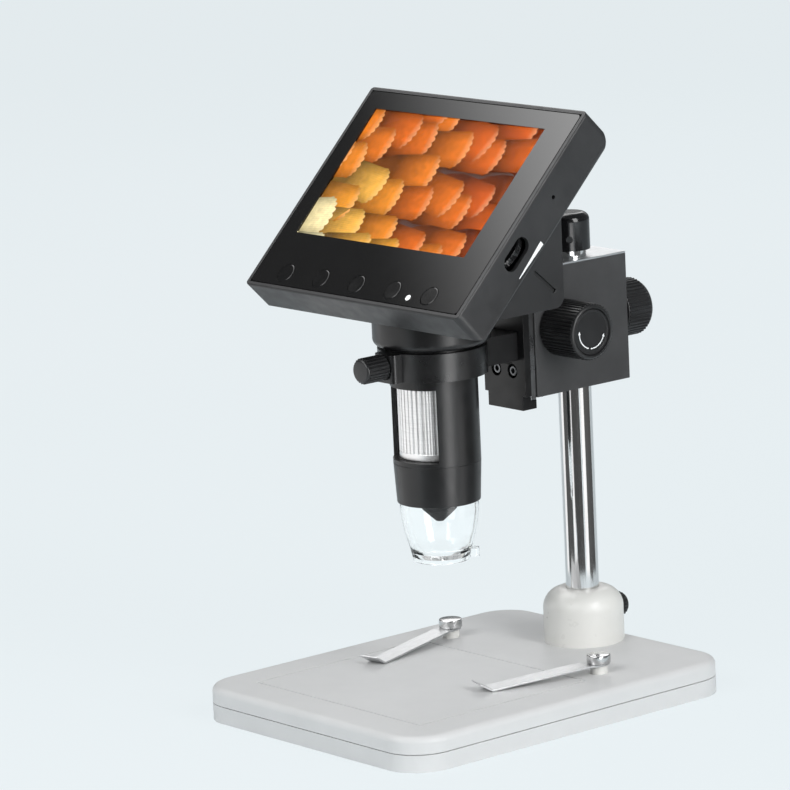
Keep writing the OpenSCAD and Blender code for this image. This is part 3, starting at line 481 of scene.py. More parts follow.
def prism(outline: Sequence[Point2], z0: float, z1: float) -> bmesh.types.BMesh:
    """Stands a closed outline up between two heights.

    Args:
        outline: the points (x, y) in order.
        z0: lower face.
        z1: upper face.

    Returns:
        The closed mesh.
    """
    mesh = bmesh.new()
    low = [mesh.verts.new((x, y, z0)) for x, y in outline]
    high = [mesh.verts.new((x, y, z1)) for x, y in outline]
    mesh.faces.new(low[::-1])
    mesh.faces.new(high)
    for k in range(len(outline)):
        mesh.faces.new((low[k - 1], low[k], high[k], high[k - 1]))
    bmesh.ops.recalc_face_normals(mesh, faces=mesh.faces)
    return mesh


def new_object(name: str, mesh: bmesh.types.BMesh, place: Matrix = Matrix.Scale(MM, 4),
               sharp: float = 35.0) -> bpy.types.Object:
    """Makes an object of a mesh, with its place in its vertices and smooth curved faces.

    Args:
        name: the piece's name.
        mesh: the mesh, which is freed.
        place: matrix from the mesh's millimetres to the frame's metres.
        sharp: angle between faces, in degrees, above which their edge stays sharp.

    Returns:
        The object at the origin.
    """
    mesh.transform(place)
    data = bpy.data.meshes.new(name)
    mesh.to_mesh(data)
    mesh.free()
    data.polygons.foreach_set("use_smooth", [True] * len(data.polygons))
    data.set_sharp_from_angle(angle=math.radians(sharp))
    made = bpy.data.objects.new(name, data)
    bpy.context.scene.collection.objects.link(made)
    return made


def settled(made: bpy.types.Object) -> bpy.types.Object:
    """Turns an object's modifiers into a plain mesh.

    Args:
        made: the object, whose modifiers are removed.

    Returns:
        The same object.
    """
    graph = bpy.context.evaluated_depsgraph_get()
    data = bpy.data.meshes.new_from_object(made.evaluated_get(graph), depsgraph=graph)
    made.modifiers.clear()
    data.name = made.name
    made.data = data
    return made


def softened(made: bpy.types.Object, width_mm: float, segments: int = 2,
             limit: float = 35.0) -> bpy.types.Object:
    """Rounds the sharp edges of an object.

    Args:
        made: the object.
        width_mm: width of the rounding.
        segments: faces across the rounding.
        limit: angle between faces, in degrees, above which their edge is rounded.

    Returns:
        The same object as a plain mesh.
    """
    bevel = made.modifiers.new("soft edges", "BEVEL")
    bevel.width = width_mm * MM
    bevel.segments = segments
    bevel.limit_method = "ANGLE"
    bevel.angle_limit = math.radians(limit)
    bevel.harden_normals = True
    return settled(made)


def simplified(data: bpy.types.Mesh, weld: float) -> bmesh.types.BMesh:
    """Reads a mesh, and joins vertices that meet and faces that lie in one plane.

    Args:
        data: the mesh.
        weld: distance, in metres, under which vertices are joined.

    Returns:
        The simpler mesh.
    """
    mesh = bmesh.new()
    mesh.from_mesh(data)
    bmesh.ops.remove_doubles(mesh, verts=mesh.verts, dist=weld)
    bmesh.ops.dissolve_limit(mesh, angle_limit=FLAT, verts=mesh.verts, edges=mesh.edges)
    return mesh


def copied(node: str, name: str) -> bpy.types.Object:
    """Copies a CAD node and joins its loose triangles into faces.

    Args:
        node: the CAD node.
        name: the new piece's name.

    Returns:
        The new object.
    """
    mesh = simplified(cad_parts[node].data, 2e-6)
    return new_object(name, mesh, Matrix.Identity(4), CAD_EDGE)


def painted(made: bpy.types.Object, *finishes: bpy.types.Material) -> bpy.types.Object:
    """Gives an object its materials.

    Args:
        made: the object.
        finishes: the materials of its slots.

    Returns:
        The same object.
    """
    made.data.materials.clear()
    for finish in finishes:
        made.data.materials.append(finish)
    return made


def mounted(made: bpy.types.Object, body: Body, slot: str, *nodes: str) -> bpy.types.Object:
    """Lets a piece ride on its body, in place of the CAD nodes that it stands for.

    Args:
        made: the finished object.
        body: the body that it moves with.
        slot: not used.
        nodes: the CAD nodes that it stands for.

    Returns:
        The same object.
    """
    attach(made, body.value)
    if nodes:
        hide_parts(*nodes)
    LOG.info("%s: %d faces on %s", made.name, len(made.data.polygons), body.value)
    return made


def kept(finish: bpy.types.Material, *nodes: str) -> None:
    """Shows CAD nodes as they are, in a new finish.

    Args:
        finish: the material.
        nodes: the CAD nodes.
    """
    for node in nodes:
        painted(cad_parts[node], finish)
        LOG.info("%s: CAD shape kept", node)


def recut(node: str, name: str, finish: bpy.types.Material, body: Body, slot: str, width_mm: float,
          segments: int = 2) -> None:
    """Puts a copy of a CAD node with rounded edges in the node's place.

    Args:
        node: the CAD node.
        name: the new piece's name.
        finish: its material.
        body: the body that it rides on.
        slot: not used.
        width_mm: width of the rounding.
        segments: faces across the rounding.
    """
    made = softened(copied(node, name), width_mm, segments, CAD_EDGE)
    mounted(painted(made, finish), body, slot, node)


# ---------- Geometry Nodes for what repeats ----------

class Pattern:
    """A Geometry Nodes tree that repeats a shape on the mesh that it is given."""

    def __init__(self, name: str, inputs: dict[str, tuple[str, object]]) -> None:
        """Makes the tree and its named inputs.

        Args:
            name: the tree's name.
            inputs: input name to its socket type and default value.
        """
        self.tree = bpy.data.node_groups.new(name, "GeometryNodeTree")
        face = self.tree.interface
        face.new_socket("Geometry", in_out="INPUT", socket_type="NodeSocketGeometry")
        self.identifiers: dict[str, str] = {}
        for label, (kind, default) in inputs.items():
            socket = face.new_socket(label, in_out="INPUT", socket_type=kind)
            if default is not None:
                socket.default_value = default
            self.identifiers[label] = socket.identifier
        face.new_socket("Geometry", in_out="OUTPUT", socket_type="NodeSocketGeometry")
        self.start = self.add("NodeGroupInput").outputs

    def add(self, kind: str, sockets: Optional[dict] = None, **settings: object) -> bpy.types.Node:
        """Adds a node to the tree, as add_node does."""
        return add_node(self.tree, kind, sockets, **settings)

    def maths(self, operation: str, *values: Setting) -> bpy.types.NodeSocket:
        """Adds a calculation on one or two numbers and gives its result."""
        return calc(self.tree, operation, *values)

    def vector(self, x: Setting = 0.0, y: Setting = 0.0, z: Setting = 0.0) -> bpy.types.NodeSocket:
        """Joins three numbers into a vector."""
        return self.add("ShaderNodeCombineXYZ", {"X": x, "Y": y, "Z": z}).outputs[0]

    def close(self, shape: bpy.types.NodeSocket) -> "Pattern":
        """Ends the tree with realised instances in the input's material.

        Args:
            shape: the geometry to end with.

        Returns:
            The pattern itself.
        """
        real = self.add("GeometryNodeRealizeInstances", {"Geometry": shape}).outputs[0]
        dressed = self.add("GeometryNodeSetMaterial", {"Geometry": real, "Material": self.start["Material"]})
        self.add("NodeGroupOutput", {"Geometry": dressed.outputs[0]})
        return self

    def on(self, made: bpy.types.Object, values: dict[str, object]) -> bpy.types.Object:
        """Runs the tree on an object and keeps its result as a plain mesh.

        Args:
            made: the object that gives the input mesh.
            values: input name to value, in metres and whole numbers.

        Returns:
            The same object.
        """
        modifier = made.modifiers.new(self.tree.name, "NODES")
        modifier.node_group = self.tree
        for label, value in values.items():
            modifier[self.identifiers[label]] = value
        return settled(made)


@lru_cache(maxsize=None)
def rib_pattern() -> Pattern:
    """Builds the tree that adds straight ribs round a knob or wheel that stands on Z.

    Returns:
        The pattern, with the knob's core as its input mesh.
    """
    length = "NodeSocketFloat"
    made = Pattern("ribs round a knob", {
        "Ribs": ("NodeSocketInt", 40), "Radius": (length, 0.01), "Height": (length, 0.0004),
        "Width": (length, 0.0008), "Start": (length, 0.0), "Length": (length, 0.01),
        "Material": ("NodeSocketMaterial", None)})
    start = made.start
    ring = made.add("GeometryNodeMeshCircle", {"Vertices": start["Ribs"], "Radius": start["Radius"]})
    lift = made.vector(z=made.maths("ADD", start["Start"], made.maths("MULTIPLY", start["Length"], 0.5)))
    raised = made.add("GeometryNodeTransform", {"Geometry": ring.outputs[0], "Translation": lift})
    sides = 8
    bar = made.add("GeometryNodeMeshCylinder", {"Vertices": sides, "Radius": 1.0, "Depth": 1.0})
    rod = made.add("GeometryNodeTransform",
                   {"Geometry": bar.outputs[0], "Rotation": (0.0, 0.0, math.pi / sides)})
    girth = made.vector(start["Height"], made.maths("MULTIPLY", start["Width"], 0.5), start["Length"])
    rib = made.add("GeometryNodeTransform", {"Geometry": rod.outputs[0], "Scale": girth})
    index = made.add("GeometryNodeInputIndex").outputs[0]
    turn = made.maths("DIVIDE", made.maths("MULTIPLY", index, 2 * math.pi), start["Ribs"])
    spin = made.add("FunctionNodeEulerToRotation", {"Euler": made.vector(z=turn)}).outputs[0]
    ribs = made.add("GeometryNodeInstanceOnPoints",
                    {"Points": raised.outputs[0], "Instance": rib.outputs[0], "Rotation": spin})
    joined = made.add("GeometryNodeJoinGeometry", {"Geometry": start["Geometry"]})
    made.tree.links.new(ribs.outputs[0], joined.inputs[0])
    return made.close(joined.outputs[0])


@lru_cache(maxsize=None)
def copy_pattern() -> Pattern:
    """Builds the tree that puts a copy of one shape on each point of the input mesh.

    Returns:
        The pattern.
    """
    made = Pattern("copies at points", {"Shape": ("NodeSocketObject", None),
                                        "Material": ("NodeSocketMaterial", None)})
    shape = made.add("GeometryNodeObjectInfo", {"Object": made.start["Shape"]}, transform_space="ORIGINAL")
    points = made.add("GeometryNodeMeshToPoints", {"Mesh": made.start["Geometry"]})
    copies = made.add("GeometryNodeInstanceOnPoints",
                      {"Points": points.outputs[0], "Instance": shape.outputs["Geometry"]})
    return made.close(copies.outputs[0])


def copies_at(points: Sequence[Point3], name: str, shape: bpy.types.Object,
              finish: bpy.types.Material) -> bpy.types.Object:
    """Puts a copy of one shape on each point.

    Args:
        points: the points, in millimetres.
        name: name of the piece that the copies make.
        shape: the shape, which is removed.
        finish: the material of the copies.

    Returns:
        The piece.
    """
    mesh = bmesh.new()
    for point in points:
        mesh.verts.new(point)
    made = copy_pattern().on(new_object(name, mesh), {"Shape": shape, "Material": finish})
    bpy.data.objects.remove(shape)
    return made


# ---------- Finishes ----------

# Thick white paint on pressed steel: soft gloss with a very fine orange peel
WHITE_ENAMEL = Moulded("white_enamel_sprayed", "#CCCCCC", "#CFCFCF", 0.36, 0.02, 1.2, 0.0012, ior=1.3)
# Glossy injection-moulded ABS in warm white: clear reflections with faint flow waves
WHITE_ABS = Moulded("white_abs_gloss_moulded", "#DAD9D5", "#DEDDD9", 0.3, 0.03, 4.0, 0.0008, coat=0.1)
# Moulded nitrile rubber: dull and grainy
RUBBER = Moulded("nitrile_rubber_moulded", "#171717", "#232323", 0.78, 0.06, 0.4, 0.03, ior=1.52)
# Black ABS from a spark-eroded mould: satin, with a sharp sheen along its ribs
BLACK_ABS = Moulded("black_abs_satin_moulded", "#1A1A1B", "#242425", 0.36, 0.05, 0.3, 0.003)
# Black ABS from a polished mould: the gloss of the pole's cap and the printed wheel
GLOSS_ABS = Moulded("black_abs_gloss_moulded", "#0D0D0E", "#151516", 0.12, 0.04, 2.5, 0.006)
# Soft black paint on ABS: a broad silky highlight, as on a camera body
SOFT_PAINT = Moulded("black_soft_paint_on_abs", "#101011", "#161617", 0.33, 0.04, 0.3, 0.002, ior=1.5)
# Satin black paint on the cast ring: the same colour, with a brighter sheen
RING_PAINT = Moulded("black_satin_paint_on_casting", "#0F0F10", "#151516", 0.3, 0.04, 0.3, 0.0015, ior=1.55)
# Matt black ABS round the lamps, so that no light strays
MATT_ABS = Moulded("black_abs_matt_moulded", "#0B0B0C", "#111112", 0.6, 0.06, 0.3, 0.008, ior=1.33)
# Fine-textured black ABS of the display's housing
HOUSING_ABS = Moulded("black_abs_fine_texture", "#262627", "#2C2C2D", 0.4, 0.06, 0.35, 0.01, ior=1.48)
# Matt powder coat on die-cast aluminium: even grey-black with a fine dry grain
POWDER_COAT = Moulded("black_powder_coat_on_casting", "#323233", "#3A3A3B", 0.6, 0.06, 0.45, 0.02)
# Black anodised aluminium: dark, with a tighter sheen than paint
ANODISED = Moulded("black_anodised_aluminium", "#0F0F10", "#151516", 0.34, 0.05, 0.25, 0.002, ior=1.45)
# Clear acrylic with black paint behind it: deep black and mirror smooth
BACKED_ACRYLIC = Moulded("black_backed_acrylic", "#070708", "#0B0B0C", 0.07, 0.006, 9.0, 0.001, ior=1.6)
# Black silicone-lacquered key caps: a little duller than the panel round them
KEY_LACQUER = Moulded("black_key_lacquer", "#080809", "#0D0D0E", 0.13, 0.03, 0.4, 0.002, ior=1.42)
# White screen-printing ink: thin, opaque and dull
PRINT_INK = Moulded("white_screen_ink", "#E6E7E8", "#F4F4F4", 0.5, 0.05, 0.3, 0.004)
# Clear epoxy over a lit chip: reads as a white lens
LAMP_EPOXY = Moulded("milky_led_epoxy", "#EDEEEE", "#FBFBFA", 0.15, 0.03, 2.0, 0.004, emission=0.35)
# Glass-fibre board under green solder mask
SOLDER_MASK = Moulded("green_solder_mask", "#12482A", "#1A5A36", 0.3, 0.06, 0.8, 0.012)
# Crinkled foil round a flat cell
CELL_FOIL = Metal("aluminium_foil_wrap", "#9A9DA1", "#B5B8BB", 0.35, 0.08, 2.5, (1.0, 1.0, 1.0), 0.05)
# Hard chrome on a ground steel tube: mirror bright, with faint lines along the pole
CHROME = Metal("hard_chrome_polished", "#DADADA", "#E8E8E8", 0.08, 0.02, 0.5, (1.0, 1.0, 0.02), 0.0008)
# Screw heads of polished nickel: softer reflections than the pole's chrome
NICKEL = Metal("nickel_plate_polished", "#C6C6C6", "#D4D4D4", 0.17, 0.03, 0.8, (1.0, 1.0, 1.0), 0.0005)
# Brushed spring steel, its lines along the strip
SPRING_STEEL = Metal("spring_steel_brushed", "#BDBEBF", "#CFD0D1", 0.36, 0.04, 0.4, (1.0, 0.05, 1.0), 0.0003)
# Zinc-plated steel of small screws
ZINC = Metal("zinc_plated_steel", "#A4A7AA", "#BEC1C4", 0.3, 0.06, 0.5, (1.0, 1.0, 1.0), 0.003)
# Socket screws after years of handling: burnished, greyer than zinc
BURNISHED = Metal("burnished_steel_screw", "#6C6E70", "#828486", 0.3, 0.05, 0.5, (1.0, 1.0, 1.0), 0.001)
# Satin aluminium, drawn along its length
ALUMINIUM = Metal("satin_aluminium_drawn", "#C2C4C6", "#D6D8D9", 0.32, 0.04, 0.4, (1.0, 0.04, 1.0), 0.0005)
# Turned aluminium of the focus wheel, clear anodised
TURNED = Metal("turned_aluminium_anodised", "#E8E8E8", "#F6F6F6", 0.36, 0.04, 0.4, (0.05, 0.05, 1.0), 0.0006)
# Ground steel of the slide's wear strips, oiled and dark
SLIDE_STEEL = Metal("ground_steel_oiled", "#8C8E90", "#A2A4A6", 0.28, 0.04, 0.4, (1.0, 1.0, 0.04), 0.0006)
# Dark grey anodised aluminium of the lens barrel
BARREL = Metal("grey_anodised_aluminium", "#4A4B4D", "#5C5D5F", 0.35, 0.05, 0.3, (0.05, 0.05, 1.0), 0.003)
# Cast brass, machined
BRASS = Metal("machined_brass", "#A98745", "#C7A560", 0.27, 0.05, 0.3, (0.05, 1.0, 1.0), 0.004)
# Ballast plate as it left the shears: dull mill scale
MILL_STEEL = Metal("mill_scale_steel", "#4A4C4F", "#66696C", 0.5, 0.08, 4.0, (1.0, 1.0, 1.0), 0.02)
# Clear moulded polycarbonate, water clear
POLYCARBONATE = Clear("clear_polycarbonate", "#FDFEFE", 0.015, 1.4, 7.0, 0.012)
# Ground and coated optical glass
LENS_GLASS = Clear("optical_glass", "#F2F8F8", 0.0, 1.52, 20.0, 0.0)
# Clear cast acrylic over the picture
WINDOW_ACRYLIC = Clear("clear_coated_acrylic", "#FFFFFF", 0.0, 1.05, 30.0, 0.0)

@lru_cache(maxsize=None)
def coat_of(finish: Union[Moulded, Metal, Clear]) -> bpy.types.Material:
    """Gives the material of a finish, which is built once.

    Args:
        finish: the finish.

    Returns:
        Its material.
    """
    return finish.make()


# ---------- Studio ----------

@dataclass
class Viewpoint:
    """The camera: its place, its aim in degrees, and its lens and sensor in millimetres."""

    place_mm: Point3 = (1346.28, -1142.56, 473.81)
    azimuth: float = 50.357
    elevation: float = 11.366
    roll: float = -2.7014
    lens: float = 222.27
    sensor: float = 36.0
    clip_m: Point2 = (0.05, 50.0)

    def build(self) -> None:
        """Makes the scene's camera."""
        a, e, r = (math.radians(v) for v in (self.azimuth, self.elevation, self.roll))
        back = Vector((math.sin(a) * math.cos(e), -math.cos(a) * math.cos(e), math.sin(e)))
        level = Vector((math.cos(a), math.sin(a), 0))
        upright = back.cross(level)
        right = math.cos(r) * level + math.sin(r) * upright
        up = -math.sin(r) * level + math.cos(r) * upright
        data = bpy.data.cameras.new("camera")
        data.lens = self.lens
        data.sensor_width = self.sensor
        data.clip_start, data.clip_end = self.clip_m
        camera = bpy.data.objects.new("camera", data)
        camera.matrix_world = Matrix.Translation(Vector(self.place_mm) * MM) @ Matrix(
            (right, up, back)).transposed().to_4x4()
        bpy.context.scene.collection.objects.link(camera)
        bpy.context.scene.camera = camera


def seen_rays(tree: bpy.types.NodeTree) -> bpy.types.NodeSocket:
    """Gives one for rays that the camera follows straight or through clear plastic, else nought."""
    path = add_node(tree, "ShaderNodeLightPath").outputs
    return calc(tree, "ADD", path["Is Camera Ray"], path["Is Transmission Ray"], use_clamp=True)


@dataclass(frozen=True)
class Card:
    """A curved card that only gloss shows, standing round a point: the lines in polished metal.

    Its angles are in degrees, from the front towards the right, and its other sizes in metres.
    """

    name: str
    middle: Point2
    radius: float
    start: float
    stop: float
    low: float
    high: float
    level: float
    nearest: float = 0.0
    thickness: float = 0.002
    steps: int = 12

    def build(self) -> None:
        """Makes the card."""
        angles = [math.radians(self.start + (self.stop - self.start) * k / self.steps)
                  for k in range(self.steps + 1)]
        outline = [(r * math.sin(a) / MM, -r * math.cos(a) / MM)
                   for r, way in ((self.radius, angles), (self.radius + self.thickness, angles[::-1]))
                   for a in way]
        place = Matrix.Translation((*self.middle, 0)) @ Matrix.Scale(MM, 4)
        staged_card(new_object(self.name, prism(outline, self.low / MM, self.high / MM), place),
                    (self.level, self.level), nearest=self.nearest)


@dataclass(frozen=True)
class CardRing:
    """Cards round one axis: the angles in degrees between which each stands, and its brightness."""

    name: str
    middle: Point2
    radius: float
    top: float
    cards: tuple[Point3, ...]
    nearest: float = 0.0

    def build(self) -> None:
        """Makes the cards, each named after the angle where it starts."""
        for start, stop, level in self.cards:
            Card(f"{self.name}_{start:.0f}".replace("-", "m"), self.middle, self.radius, start, stop, 0.0,
                 self.top, level, self.nearest).build()


def staged_card(made: bpy.types.Object, levels: Point2, reach: Point2 = (0.0, 1.0),
                nearest: float = 0.0) -> None:
    """Lights a card, evenly or from level to level up its face, and hides it from all but gloss.

    Args:
        made: the card.
        levels: brightness at the two ends of the reach.
        reach: distances up the card's face, in metres, between which the brightness changes.
        nearest: gloss on things nearer than this, in metres, looks through the card.
    """
    material = bpy.data.materials.new("card_" + made.name)
    material.use_nodes = True
    tree = material.node_tree
    tree.nodes.clear()
    fade = levels[0]
    if levels[0] != levels[1]:
        along = add_node(tree, "ShaderNodeAttribute", attribute_name="along").outputs["Fac"]
        fade = mapped(tree, along, reach, levels, interpolation_type="SMOOTHSTEP")
    glow = add_node(tree, "ShaderNodeEmission", {"Color": (1.0, 1.0, 1.0, 1.0), "Strength": fade})
    if nearest:
        length = add_node(tree, "ShaderNodeLightPath").outputs["Ray Length"]
        far = calc(tree, "GREATER_THAN", length, nearest)
        clear = add_node(tree, "ShaderNodeBsdfTransparent")
        glow = add_node(tree, "ShaderNodeMixShader", {0: far, 1: clear.outputs[0], 2: glow.outputs[0]})
    add_node(tree, "ShaderNodeOutputMaterial", {"Surface": glow.outputs[0]})
    painted(made, material)
    made.visible_camera = made.visible_diffuse = made.visible_shadow = False
    made.visible_transmission = made.visible_volume_scatter = False


@dataclass(frozen=True)
class SlopingCard:
    """Flat card that the black panel shows: dark below, pale above. Its half side is in millimetres."""

    place: Point3 = (-0.9083, -0.2043, 0.9537)
    aim: Point3 = (0.0, 0.018, 0.193)
    half: float = 900.0
    thickness: float = 2.0
    levels: Point2 = (0.16, 3.8)
    reach: Point2 = (-0.03, 0.14)

    def build(self) -> None:
        """Hangs the card, and marks how far up its face each of its corners lies."""
        here = Vector(self.place)
        facing = (Vector(self.aim) - here).normalized()
        across = facing.cross(Vector((0, 0, 1))).normalized()
        above = across.cross(facing)
        frame_of = Matrix((across, above, facing)).transposed().to_4x4()
        card = prism(rectangle((-self.half, -self.half), (self.half, self.half)), -self.thickness, 0.0)
        made = new_object("panel_card", card, Matrix.Translation(here) @ frame_of @ Matrix.Scale(MM, 4))
        along = made.data.attributes.new("along", "FLOAT", "POINT")
        for i, vertex in enumerate(made.data.vertices):
            along.data[i].value = (vertex.co - here).dot(above)
        staged_card(made, self.levels, self.reach)


@dataclass(frozen=True)
class Softbox:
    """Rectangular lamp: its place and size in metres, and its power in watts."""

    name: str
    place: Point3
    size: Point2
    power: float

    def build(self, target: Point3) -> None:
        """Hangs the lamp so that it faces a point.

        Args:
            target: the point, in metres.
        """
        data = bpy.data.lights.new(self.name, "AREA")
        data.shape = "RECTANGLE"
        data.size, data.size_y = self.size
        data.energy = self.power
        lamp = bpy.data.objects.new(self.name, data)
        aim = Vector(self.place) - Vector(target)
        lamp.matrix_world = Matrix.Translation(self.place) @ aim.to_track_quat("Z", "Y").to_matrix().to_4x4()
        bpy.context.scene.collection.objects.link(lamp)


@dataclass
class Studio:
    """Pale floor, soft lamps and the surroundings that gloss and glass show."""

    floor_half: float = 6.0
    floor_colours: tuple[str, str] = ("#E9F1F4", "#EBF2F5")
    floor_cloud_mm: float = 900.0
    floor_steadiness: float = 0.9
    world_colour: str = "#E9F0F3"
    world_strength: float = 0.38
    gloss_strength: float = 0.24
    # Painted light: the floor and background seen through clear plastic are brightened, as a painted glow in
    # place of the light inside the clear cap
    painted_glow_behind_clear: float = 0.12
    target: Point3 = (0.0, 0.0, 0.11)
    lamps: tuple[Softbox, ...] = (Softbox("key softbox", (1.25, 0.05, 0.66), (0.55, 1.1), 13.5),
                                  Softbox("front softbox", (0.1, -1.05, 0.8), (0.9, 0.7), 8.5),
                                  Softbox("rim softbox", (-0.9, 0.9, 0.9), (0.5, 0.9), 2.2))
    pole_cards: CardRing = CardRing(
        "pole_card", (0.0, 0.061), 0.17, 0.095,
        ((-66, -48.6, 1.2), (-45, 2.4, 0.1), (5.7, 18.5, 1.2), (24, 74, 0.08), (82, 113, 1.3),
         (120, 162, 0.1)), 0.157)
    tube_cards: CardRing = CardRing(
        "tube_card", (0.0, -0.0083), 0.2, 0.14,
        ((-78, 2, 1.1), (12, 66, 0.12), (73, 93, 4.3), (101, 140, 0.12)))
    far_card: Card = Card("far_card", (0.0, 0.0), 1.5, -165, -95, 0.42, 0.9, 0.6)
    panel_card: SlopingCard = SlopingCard()

    def build(self) -> None:
        """Makes the floor, the world, the lamps and the cards."""
        bpy.context.scene.view_settings.view_transform = "Standard"
        self.floor()
        self.world()
        for lamp in self.lamps:
            lamp.build(self.target)
        for cards in (self.pole_cards, self.tube_cards, self.far_card, self.panel_card):
            cards.build()

    def seen_level(self, tree: bpy.types.NodeTree) -> bpy.types.NodeSocket:
        """Gives the background's strength, a little higher where clear plastic is before it: a painted glow
        in place of the light inside the clear cap.
        """
        through = add_node(tree, "ShaderNodeLightPath").outputs["Is Transmission Ray"]
        return calc(tree, "MULTIPLY_ADD", through, self.painted_glow_behind_clear, 1.0)

    def floor(self) -> None:
        """Makes the floor, which keeps the object's shadow and stays pale to its edge."""
        half = self.floor_half / MM
        ground = new_object("floor", prism(rectangle((-half, -half), (half, half)), -20.0, -0.05))
        material, tree, shader = new_material("pale_paper_floor")
        place = object_place(tree)
        colour = tinted(tree, noise(tree, place, self.floor_cloud_mm), *self.floor_colours)
        fill(tree, shader, {"Base Color": colour, "Roughness": 0.9, "Specular IOR Level": 0.1})
        even = add_node(tree, "ShaderNodeEmission", {"Color": colour, "Strength": self.seen_level(tree)})
        share = calc(tree, "MULTIPLY", seen_rays(tree), self.floor_steadiness)
        mix = add_node(tree, "ShaderNodeMixShader", {0: share, 1: shader.outputs[0], 2: even.outputs[0]})
        out = next(n for n in tree.nodes if n.type == "OUTPUT_MATERIAL")
        tree.links.new(mix.outputs[0], out.inputs["Surface"])
        painted(ground, material)

    def world(self) -> None:
        """Makes an even world: a plain level of light, and the pale background where it is seen."""
        world = bpy.data.worlds.new("studio")
        bpy.context.scene.world = world
        world.use_nodes = True
        tree = world.node_tree
        tree.nodes.clear()
        shining = add_node(tree, "ShaderNodeLightPath").outputs["Is Glossy Ray"]
        gloss = mapped(tree, shining, (0.0, 1.0), (self.world_strength, self.gloss_strength))
        level = add_node(tree, "ShaderNodeMix", {0: seen_rays(tree), 2: gloss, 3: self.seen_level(tree)})
        back = add_node(tree, "ShaderNodeBackground", {"Color": linear(self.world_colour),
                                                       "Strength": level.outputs[0]})
        add_node(tree, "ShaderNodeOutputWorld", {"Surface": back.outputs[0]})


# ---------- Stand ----------

@dataclass
class Base:
    """Weighted base: two shells, a ballast plate, feet and screws."""

    def build(self) -> None:
        """Dresses the base's pieces."""
        kept(coat_of(WHITE_ENAMEL), "base_tray", "base_cover")
        kept(coat_of(MILL_STEEL), "base_ballast")
        kept(coat_of(RUBBER), "base_feet")
        kept(coat_of(ZINC), "base_screws")


@dataclass
class Collar:
    """Domed collar that holds the pole, with its thumb screw."""

    knob_ribs: int = 20
    rib: Point2 = (0.35, 0.8)
    edge: float = 0.3
    shoulder: float = 1.0

    def build(self) -> None:
        """Dresses the collar and makes its knob."""
        kept(coat_of(WHITE_ABS), "pole_collar")
        kept(coat_of(ZINC), "collar_fixings", "collar_screw")
        radius, length, place = turned_place("collar_knob", Axis.BACK)
        radius -= self.edge
        core = rounded_path(rectangle((0, 0), (radius, length)), [0, self.edge, self.shoulder, 0])
        knob = ribbed("collar_thumb_knob", core, self.knob_ribs, radius, self.rib,
                      (self.edge, length - self.edge - self.shoulder), place, coat_of(BLACK_ABS))
        mounted(knob, Body.COLLAR_CLAMP, "knob_plastic", "collar_knob")


def turned_place(node: str, axis: Axis) -> tuple[float, float, Matrix]:
    """Measures a turned CAD node, for a shape that stands in its place.

    Args:
        node: the CAD node.
        axis: the direction that it points to.

    Returns:
        Its radius and length in millimetres, and the matrix that stands a shape where it starts.
    """
    box, way = Corners(node), Vector(axis.value)
    foot = [low if w > 0 else high if w < 0 else mid
            for w, low, high, mid in zip(way, box.low, box.high, box.mid)]
    across = box.size.z if way.x else box.size.x
    return across / 2, abs(way.dot(box.size)), standing(axis, foot)


def ribbed(name: str, outline: Sequence[Point2], count: int, radius: float, rib: Point2, reach: Point2,
           place: Matrix, finish: bpy.types.Material) -> bpy.types.Object:
    """Makes a knob or wheel with straight ribs round it.

    Args:
        name: the piece's name.
        outline: radius and height of its smooth core, as it stands on Z, in millimetres.
        count: number of ribs.
        radius: radius that the ribs stand on.
        rib: height and width of a rib.
        reach: lowest point and length of a rib.
        place: where the knob stands.
        finish: its material.

    Returns:
        The knob as one plain mesh.
    """
    made = painted(new_object(name, lathe(outline)), finish)
    rib_pattern().on(made, {"Ribs": count, "Radius": radius * MM, "Height": rib[0] * MM, "Width": rib[1] * MM,
                            "Start": reach[0] * MM, "Length": reach[1] * MM, "Material": finish})
    made.data.transform(place @ Matrix.Scale(1 / MM, 4))
    return made


@dataclass
class Pole:
    """Polished pole and its cap."""

    def build(self) -> None:
        """Dresses the pole's pieces."""
        kept(coat_of(CHROME), "pole")
        kept(coat_of(GLOSS_ABS), "pole_cap")


